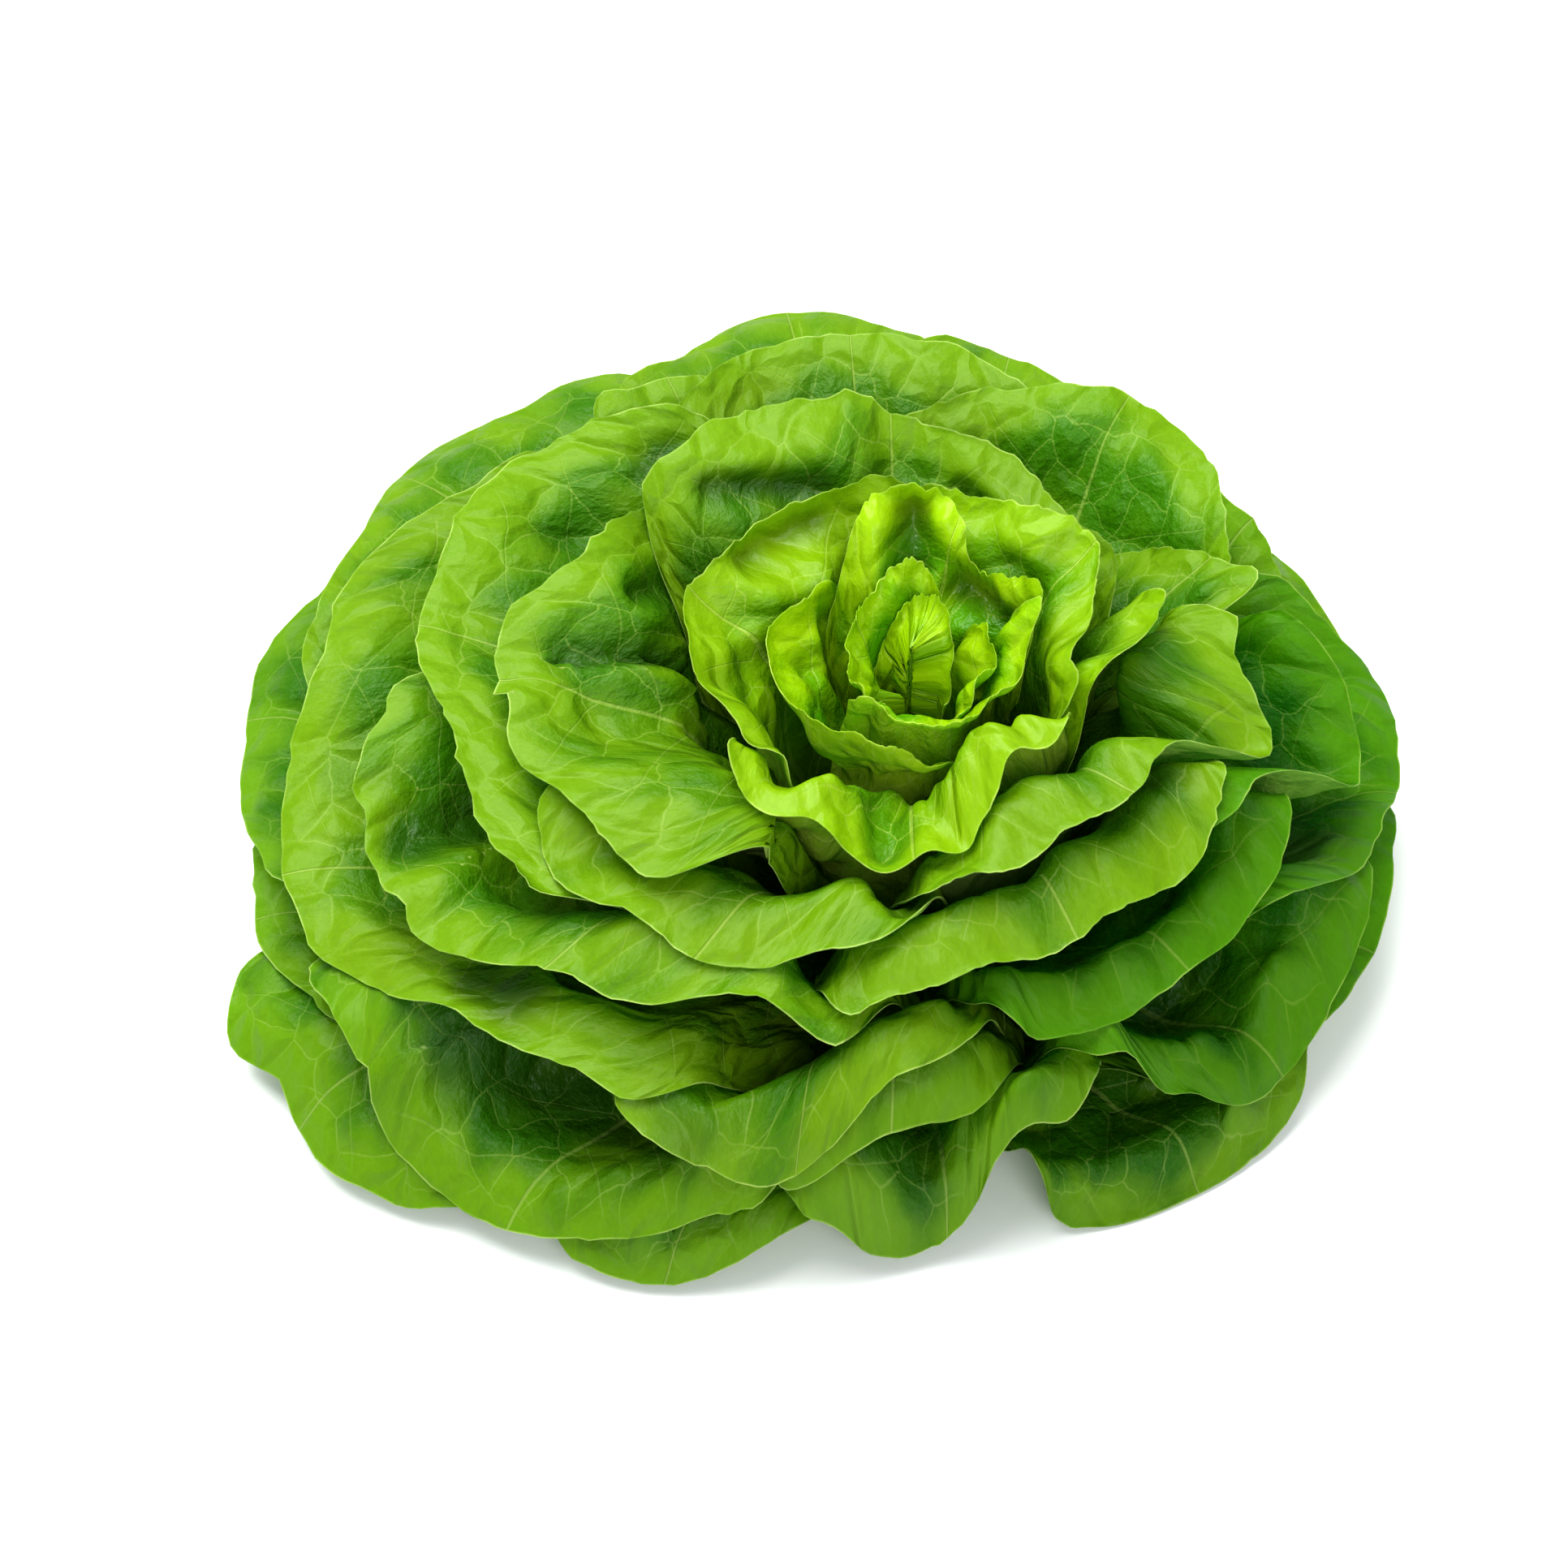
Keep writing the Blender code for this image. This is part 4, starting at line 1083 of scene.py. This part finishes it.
@dataclass(frozen=True)
class LeafFinish:
    """Lettuce blade: quilted between a net of veins, glossy inside the cup and paler underneath.

    Sizes are millimetres on the blade's map, and lines are shares of the vein's colour.
    """

    name: str
    face: Colour
    # The green away from the margin: partly the blade's own darker middle, partly painted shade of the
    # leaves above.
    deep: Colour
    vein: Colour
    under: Colour
    # A darker green at the foot of the blade: painted shade deep in the head.
    base: Colour
    rim: Colour
    glow: Colour
    through: float = 0.38
    gloss: float = 0.36
    relief: float = 0.8
    depth: float = 0.0023
    shine: float = 0.38
    # Near-black green: painted shade in the recesses of the folds.
    painted_shade_colour: Colour = (0.012, 0.060, 0.001)
    cell_size: float = 12.5
    net_size: float = 4.2
    wander: float = 3.5
    rib_width: float = 1.9
    rib_taper: float = 1.6
    rib_line: float = 0.50
    cell_line: float = 0.36
    net_line: float = 0.04
    quilt: float = 0.42

    def bent(self, g: Graph, where: Signal) -> Signal:
        """The blade's map with the small bends that keep its cells from looking cut.

        Args:
            g: The material's nodes.
            where: The map.

        Returns:
            The bent map.
        """
        inputs = {"Vector": where, "Scale": 0.13, "Detail": 1.0}
        bends = g.node("ShaderNodeTexNoise", {"noise_dimensions": "2D"}, inputs, "Color")
        bends = g.vector("SUBTRACT", {0: bends, 1: (0.5, 0.5, 0.5)})
        bends = g.vector("SCALE", {0: bends, "Scale": self.wander})
        return g.vector("ADD", {0: where, 1: bends})

    def ribs(self, g: Graph, where: Signal, along: Signal, inside: Signal) -> Signal:
        """The midrib and the side veins.

        Args:
            g: The material's nodes.
            where: The blade's map.
            along: Share of the way from base to margin.
            inside: 1 away from the margin.

        Returns:
            1 on the midrib, less on a side vein and 0 between them.
        """
        x = g.node("ShaderNodeSeparateXYZ", {}, {0: where})
        right = x.step(-0.01, 0.01)
        width = self.rib_width - along * self.rib_taper
        mid = 1.0 - abs(x).step(width * 0.35, width)
        order = g.attribute("phase") + right * 0.5
        side = abs((order + 0.5).fraction() - 0.5) * VEIN_STEP
        side = (1.0 - side.step(0.10, 0.62 - along * 0.30)) * inside * (1.0 - along * 0.5)
        return mid.maths("MAXIMUM", mid, side * 0.75)

    def material(self) -> bpy.types.Material:
        """Builds the material.

        Returns:
            The material.
        """
        g = Graph(self.name)
        where = g.node("ShaderNodeUVMap", {"uv_map": "blade"})
        bent = self.bent(g, where)
        rim, along, shade = (g.attribute(name) for name in ("rim", "along", "shade"))
        under = g.attribute("under").step(0.42, 0.58)
        painted_pocket_shade = g.attribute("painted_pocket_shade").step(0.0, 1.0)
        # The ribs, the cells between them and a finer net, each 1 on the vein.
        inside = rim.step(0.5, 9.0)
        large = self.ribs(g, where, along, inside)
        cell = g.cell_edges(bent, self.cell_size)
        cell_line = (1.0 - cell.step(0.005, 0.022)) * inside
        net_line = 1.0 - g.cell_edges(bent, self.net_size).step(0.02, 0.11)
        blotch = g.noise(bent, 0.055, 1.0, 0.6, "2D")
        grain = g.noise(where, 0.9, 1.0, 0.6, "2D")
        crinkle = g.noise(where, 0.42, 2.0, 0.65, "2D")
        # The green, deeper away from the margin, partly the blade's own darker middle and partly painted
        # shade of the leaves above, and deeper still with painted shade in the recesses, under the lines of
        # the veins.
        depth = (rim.step(0.0, 20.0) * 0.75 + blotch * 1.5 + shade * 0.45 - 0.95).step(0.0, 1.0)
        colour = g.mix(self.face, self.deep, depth)
        colour = g.mix(colour, self.under, under)
        colour = g.mix(colour, self.vein, net_line * (self.net_line + under * 0.30))
        colour = g.mix(colour, self.vein, cell_line * (self.cell_line + under * 0.14))
        colour = g.mix(colour, self.vein, large * self.rib_line)
        # Painted shade: the blade darkens towards its foot, deep in the head.
        colour = g.mix(colour, self.base, 1.0 - along.step(0.03, 0.26))
        edge = (1.0 - rim.step(0.05, 0.50)) * (0.18 + 0.60 * blotch.step(0.40, 0.62))
        colour = g.mix(colour, self.rim, edge)
        tint = g.mix((0.86, 0.88, 0.84), (1.09, 1.07, 1.05), grain)
        colour = g.mix(colour, tint, 0.7, "MULTIPLY")
        # Painted shade: the recesses of the folds go toward a near-black green.
        colour = g.mix(colour, self.painted_shade_colour, painted_pocket_shade * 0.8)
        # The quilting stands up on the face and sinks on the back.
        turn = 1.0 - under * 2.0
        quilt = cell.step(0.0, 0.32) * self.quilt
        height = (quilt - large * 0.10) * turn + crinkle * (0.10 + depth * 0.28) + blotch * 0.7
        inputs = {"Strength": self.relief, "Distance": self.depth, "Height": height}
        bump = g.node("ShaderNodeBump", {}, inputs)
        rough = self.gloss + under * 0.22 + blotch * 0.10 + crinkle * 0.10
        skin = g.node("ShaderNodeBsdfPrincipled", {}, {
            "Base Color": colour, "Roughness": rough, "Normal": bump, "IOR": 1.42,
            "Specular IOR Level": self.shine,
        })
        light = g.node("ShaderNodeBsdfTranslucent", {}, {"Color": (*self.glow, 1.0)})
        # In the recesses less light passes through, adding to their painted shade.
        through = self.through - painted_pocket_shade * (self.through * 0.75)
        return g.close(g.node("ShaderNodeMixShader", {}, {0: through, 1: skin, 2: light}))


@dataclass(frozen=True)
class StumpFinish:
    """Pale stem flesh, browned where it was cut and beaded with dried milk. Sizes are metres."""

    name: str = "stem_flesh"
    flesh: Colour = (0.62, 0.68, 0.38)
    green: Colour = (0.36, 0.55, 0.12)
    brown: Colour = (0.30, 0.15, 0.06)
    milk: Colour = (0.70, 0.62, 0.45)
    ring_radius: float = 0.0115
    depth: float = 0.0006

    def material(self) -> bpy.types.Material:
        """Builds the material.

        Returns:
            The material.
        """
        g = Graph(self.name)
        where = g.node("ShaderNodeTexCoord", {}, {}, "Object")
        height = g.node("ShaderNodeSeparateXYZ", {}, {0: where}, "Z")
        flat = g.vector("MULTIPLY", {0: where, 1: (1.0, 1.0, 0.0)})
        reach = g.vector("LENGTH", {0: flat}, "Value")
        cloud = g.noise(where, 160.0, 4.0, 0.6)
        fibre = g.noise(where, 900.0, 2.0, 0.6)
        cut = 1.0 - height.step(0.0001, 0.0009)
        ring = 1.0 - abs(reach + cloud * 0.003 - self.ring_radius).step(0.0003, 0.0022)
        stain = (cloud.step(0.38, 0.68) * 0.55 + ring * 0.45) * cut
        colour = g.mix(self.flesh, self.green, height.step(0.012, 0.055))
        colour = g.mix(colour, self.brown, stain)
        colour = g.mix(colour, self.milk, fibre.step(0.60, 0.72) * cut * 0.6)
        rough = 0.5 + cloud * 0.2
        inputs = {"Strength": 0.5, "Distance": self.depth, "Height": cloud * 0.7 + fibre * 0.3}
        bump = g.node("ShaderNodeBump", {}, inputs)
        inputs = {"Base Color": colour, "Roughness": rough, "Normal": bump}
        return g.close(g.node("ShaderNodeBsdfPrincipled", {}, inputs))


class Finish(Enum):
    """The finishes of the blades, from the heart outward."""

    HEART = LeafFinish(
        "heart_leaf", (0.385, 0.60, 0.002), (0.11, 0.36, 0.001), (0.55, 0.68, 0.10), (0.38, 0.56, 0.01),
        (0.20, 0.38, 0.005), (0.62, 0.74, 0.14), (0.40, 0.80, 0.002), through=0.36, gloss=0.18,
    )
    RING = LeafFinish(
        "ring_leaf", (0.29, 0.48, 0.002), (0.11, 0.29, 0.001), (0.50, 0.62, 0.12), (0.34, 0.48, 0.03),
        (0.15, 0.32, 0.005), (0.60, 0.72, 0.18), (0.32, 0.72, 0.002), gloss=0.25,
    )
    ROUND = LeafFinish(
        "round_leaf", (0.205, 0.365, 0.003), (0.060, 0.195, 0.001), (0.42, 0.55, 0.12), (0.33, 0.45, 0.10),
        (0.12, 0.26, 0.01), (0.55, 0.68, 0.20), (0.24, 0.64, 0.002), gloss=0.30, shine=0.34,
    )
    OUTER = LeafFinish(
        "outer_leaf", (0.170, 0.34, 0.003), (0.034, 0.145, 0.001), (0.38, 0.52, 0.12), (0.30, 0.42, 0.12),
        (0.09, 0.23, 0.01), (0.52, 0.66, 0.20), (0.16, 0.57, 0.002), gloss=0.32, shine=0.28,
    )
    # Painted shade: a darker, greener copy of the outer finish, for the leaves on the side turned from the
    # light.
    SHADED = LeafFinish(
        "shaded_leaf", (0.110, 0.300, 0.002), (0.016, 0.115, 0.001), (0.32, 0.48, 0.08), (0.24, 0.38, 0.06),
        (0.06, 0.20, 0.005), (0.46, 0.62, 0.14), (0.09, 0.56, 0.001), through=0.42, gloss=0.32, shine=0.22,
    )

    @classmethod
    def of(cls, item: Leaf) -> "Finish":
        """The finish of a leaf.

        Args:
            item: The leaf.

        Returns:
            Its finish: SHADED, a darker copy that paints the shade on the right of the outer rounds, away
                from the light, and otherwise its round's own.
        """
        rank, *side = item.name.split("_")
        if side[-1] == "right" and side[0] != "back" and rank in ("fourth", "fifth", "sixth", "outer"):
            return cls.SHADED
        ranks = {"heart": cls.HEART, "ring": cls.RING}
        return ranks.get(rank, cls.OUTER if rank in ("sixth", "outer", "ground") else cls.ROUND)


def placed(
    name: str, mesh: bpy.types.Mesh, material: bpy.types.Material, sharp: float = 180.0
) -> bpy.types.Object:
    """Dresses a mesh and puts it in the scene.

    Args:
        name: The object's name.
        mesh: Its mesh.
        material: Its material.
        sharp: Degrees between faces above which an edge stays sharp, for a mesh that is smooth.

    Returns:
        The object.
    """
    if sharp < 180.0:
        mesh.polygons.foreach_set("use_smooth", [True] * len(mesh.polygons))
        mesh.set_sharp_from_angle(angle=math.radians(sharp))
    mesh.materials.append(material)
    made = bpy.data.objects.new(name, mesh)
    bpy.context.scene.collection.objects.link(made)
    return made


@dataclass
class Head:
    """Every leaf of the head, laid from the heart outward."""

    maker: LeafMaker
    materials: dict[Finish, bpy.types.Material] = field(default_factory=dict)

    def build(self) -> list[bpy.types.Object]:
        """Lays, meshes and dresses all the leaves.

        Returns:
            The pieces, one for each leaf.
        """
        self.materials = {finish: finish.value.material() for finish in Finish}
        made = []
        for number, item in enumerate(LEAVES):
            piece = self.piece(self.maker.make(item, number))
            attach(piece, "root")
            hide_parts(item.name)
            made.append(piece)
        return made

    def piece(self, blade: Blade) -> bpy.types.Object:
        """Closed mesh of a blade, with its attributes and its map in millimetres.

        Args:
            blade: The finished blade.

        Returns:
            The piece.
        """
        laid = blade.laid
        name = laid.item.name + "_blade"
        wide, deep = laid.u.shape
        size = wide * deep
        points = np.concatenate([blade.inner.reshape(-1, 3), blade.outer.reshape(-1, 3)]) * MM
        number = np.arange(size).reshape(wide, deep)
        corners = (number[:-1, :-1], number[1:, :-1], number[1:, 1:], number[:-1, 1:])
        quads = np.stack(corners, -1).reshape(-1, 4)
        ring = np.concatenate([number[:, 0], number[-1, 1:], number[-2::-1, -1], number[0, -2:0:-1]])
        after = np.roll(ring, -1)
        edge = np.stack([ring, after, after + size, ring + size], -1)
        faces = np.concatenate([quads[:, ::-1], quads + size, edge])
        mesh = bpy.data.meshes.new(name)
        mesh.vertices.add(len(points))
        mesh.vertices.foreach_set("co", points.ravel())
        mesh.loops.add(faces.size)
        mesh.loops.foreach_set("vertex_index", faces.ravel())
        mesh.polygons.add(len(faces))
        mesh.polygons.foreach_set("loop_start", np.arange(0, faces.size, 4))
        mesh.update(calc_edges=True)
        mesh.validate()
        both = {
            "rim": laid.rim_mm, "along": laid.along_mm / max(float(laid.along_mm.max()), 1.0),
            "phase": blade.phase, "shade": blade.shade, "painted_pocket_shade": blade.painted_pocket_shade,
        }
        values = {key: np.tile(grid.ravel(), 2) for key, grid in both.items()}
        values["under"] = np.repeat([0.0, 1.0], size)
        for key, value in values.items():
            layer = mesh.attributes.new(key, "FLOAT", "POINT")
            layer.data.foreach_set("value", value.astype(np.float32))
        flat = np.tile(np.stack([laid.across_mm.ravel(), laid.along_mm.ravel()], -1), (2, 1))
        corner = np.empty(len(mesh.loops), np.int32)
        mesh.loops.foreach_get("vertex_index", corner)
        mesh.uv_layers.new(name="blade").data.foreach_set("uv", flat[corner].astype(np.float32).ravel())
        return placed(name, mesh, self.materials[Finish.of(laid.item)], sharp=55)


@dataclass
class Stump:
    """The stump: a flat cut face, a short trunk scarred by the leaves, and a closed tip."""

    sides: int = 96
    rings: int = 60
    face_rings: int = 12
    bevel: float = 0.6
    scar_depth: float = 0.25
    scar_size: float = 4.0

    def profile(self) -> np.ndarray:
        """Radius and height of each ring.

        Returns:
            One row for each ring, from the middle of the cut face to the tip.
        """
        face = STEM_FOOT - STEM_CLEAR - self.bevel
        rows = [(face * k / self.face_rings, 0.0) for k in range(self.face_rings)]
        rows += [(face, 0.0), (STEM_FOOT - STEM_CLEAR - 0.15, 0.2)]
        for k in range(1, self.rings):
            z = STEM_HEIGHT * k / self.rings
            rows.append((float(stem_radius(z)) - STEM_CLEAR, z))
        rows += [(STEM_TIP - STEM_CLEAR - 1.0, STEM_HEIGHT + 1.0), (0.0, STEM_HEIGHT + 1.5)]
        return np.array(rows)

    def build(self) -> bpy.types.Object:
        """Builds and dresses the stump.

        Returns:
            The piece.
        """
        turn = np.linspace(0, 2 * math.pi, self.sides, endpoint=False)
        rows = self.profile()
        radius, height = (rows[:, k, None] * np.ones(self.sides) for k in (0, 1))
        scar = Noise(STUMP_SEED).read(np.degrees(turn)[None, :] * 0.4, height, self.scar_size)
        radius = radius - self.scar_depth * (1 + scar) * ease(height, 1.0, 4.0) * ease(radius, 0.0, 3.0)
        points = np.stack([radius * np.cos(turn), radius * np.sin(turn), height], -1)
        points = np.concatenate([points[1:-1].reshape(-1, 3), points[:1, 0], points[-1:, 0]]) * MM
        count = len(rows) - 2
        foot, tip = count * self.sides, count * self.sides + 1
        last = (count - 1) * self.sides
        faces = []
        for k in range(self.sides):
            n = (k + 1) % self.sides
            faces += [(foot, n, k), (last + k, last + n, tip)]
            for ring in range(count - 1):
                a, b = ring * self.sides + k, ring * self.sides + n
                faces.append((a, b, b + self.sides, a + self.sides))
        mesh = bpy.data.meshes.new("stump")
        mesh.from_pydata(points.tolist(), [], faces)
        piece = placed("stump", mesh, StumpFinish().material(), sharp=40)
        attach(piece, "root")
        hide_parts("stem")
        return piece


@dataclass(frozen=True)
class Lamp:
    """A square soft light: its place and side in metres, its power in watts and its colour."""

    name: str
    place: Colour
    side: float
    power: float
    colour: Colour


@dataclass
class Studio:
    """Pale floor, soft light from above and the camera."""

    elevation: float = 51.0
    distance: float = 1.0
    lens: float = 5360 / 1932 * 36
    target: Colour = (-0.0278, 0.0, 0.060)
    shift: float = 10 / 1932
    floor_half: float = 6.0
    floor_colour: Colour = (0.93, 0.95, 0.96)
    sky_colour: Colour = (0.96, 0.98, 1.0)
    sky: float = 0.68
    contrast: float = 0.85
    lamps: tuple[Lamp, ...] = (
        Lamp("overhead", (-0.34, 0.28, 1.30), 1.1, 33.5, (1.0, 1.0, 0.97)),
        Lamp("front", (0.3, -1.3, 1.1), 0.8, 14.0, (1.0, 0.99, 0.97)),
    )

    def build(self) -> None:
        """Builds the floor, the lights and the camera."""
        self.floor()
        for lamp in self.lamps:
            self.light(lamp)
        world = bpy.data.worlds.new("studio")
        world.use_nodes = True
        background = world.node_tree.nodes["Background"]
        background.inputs["Color"].default_value = (*self.sky_colour, 1.0)
        background.inputs["Strength"].default_value = self.sky
        bpy.context.scene.world = world
        bpy.context.scene.view_settings.view_transform = "Standard"
        bpy.context.scene.view_settings.gamma = self.contrast
        self.camera()

    def floor(self) -> None:
        """A wide pale floor under the head."""
        mesh = bpy.data.meshes.new("floor")
        half = self.floor_half
        corners = [(-half, -half, 0), (half, -half, 0), (half, half, 0), (-half, half, 0)]
        mesh.from_pydata(corners, [], [(0, 1, 2, 3)])
        g = Graph("floor")
        inputs = {"Base Color": (*self.floor_colour, 1.0), "Roughness": 0.7}
        paint = g.close(g.node("ShaderNodeBsdfPrincipled", {}, inputs))
        placed("floor", mesh, paint)

    def light(self, lamp: Lamp) -> None:
        """Hangs a soft light aimed at the head.

        Args:
            lamp: The light.
        """
        data = bpy.data.lights.new(lamp.name, "AREA")
        data.shape, data.size, data.energy, data.color = "SQUARE", lamp.side, lamp.power, lamp.colour
        hung = bpy.data.objects.new(lamp.name, data)
        hung.location = lamp.place
        hung.rotation_euler = (Vector((0, 0, 0.05)) - Vector(lamp.place)).to_track_quat("-Z", "Y").to_euler()
        bpy.context.scene.collection.objects.link(hung)

    def camera(self) -> None:
        """The camera, looking down on the head from the front."""
        data = bpy.data.cameras.new("camera")
        data.sensor_width, data.lens, data.clip_end, data.shift_y = 36.0, self.lens, 10.0, self.shift
        eye = bpy.data.objects.new("camera", data)
        tilt = math.radians(self.elevation)
        away = Vector((0, -math.cos(tilt), math.sin(tilt)))
        eye.location = Vector(self.target) + away * self.distance
        eye.rotation_euler = (-away).to_track_quat("-Z", "Y").to_euler()
        bpy.context.scene.collection.objects.link(eye)
        bpy.context.scene.camera = eye


def main() -> None:
    """Builds the stump, the leaves and the studio."""
    logging.basicConfig(level=logging.INFO, format="%(message)s")
    log.info("stump: %d faces", len(Stump().build().data.polygons))
    for piece in Head(LeafMaker(Nest())).build():
        log.info("%s: %d faces", piece.name, len(piece.data.polygons))
    Studio().build()


if __name__ == "__main__":
    main()
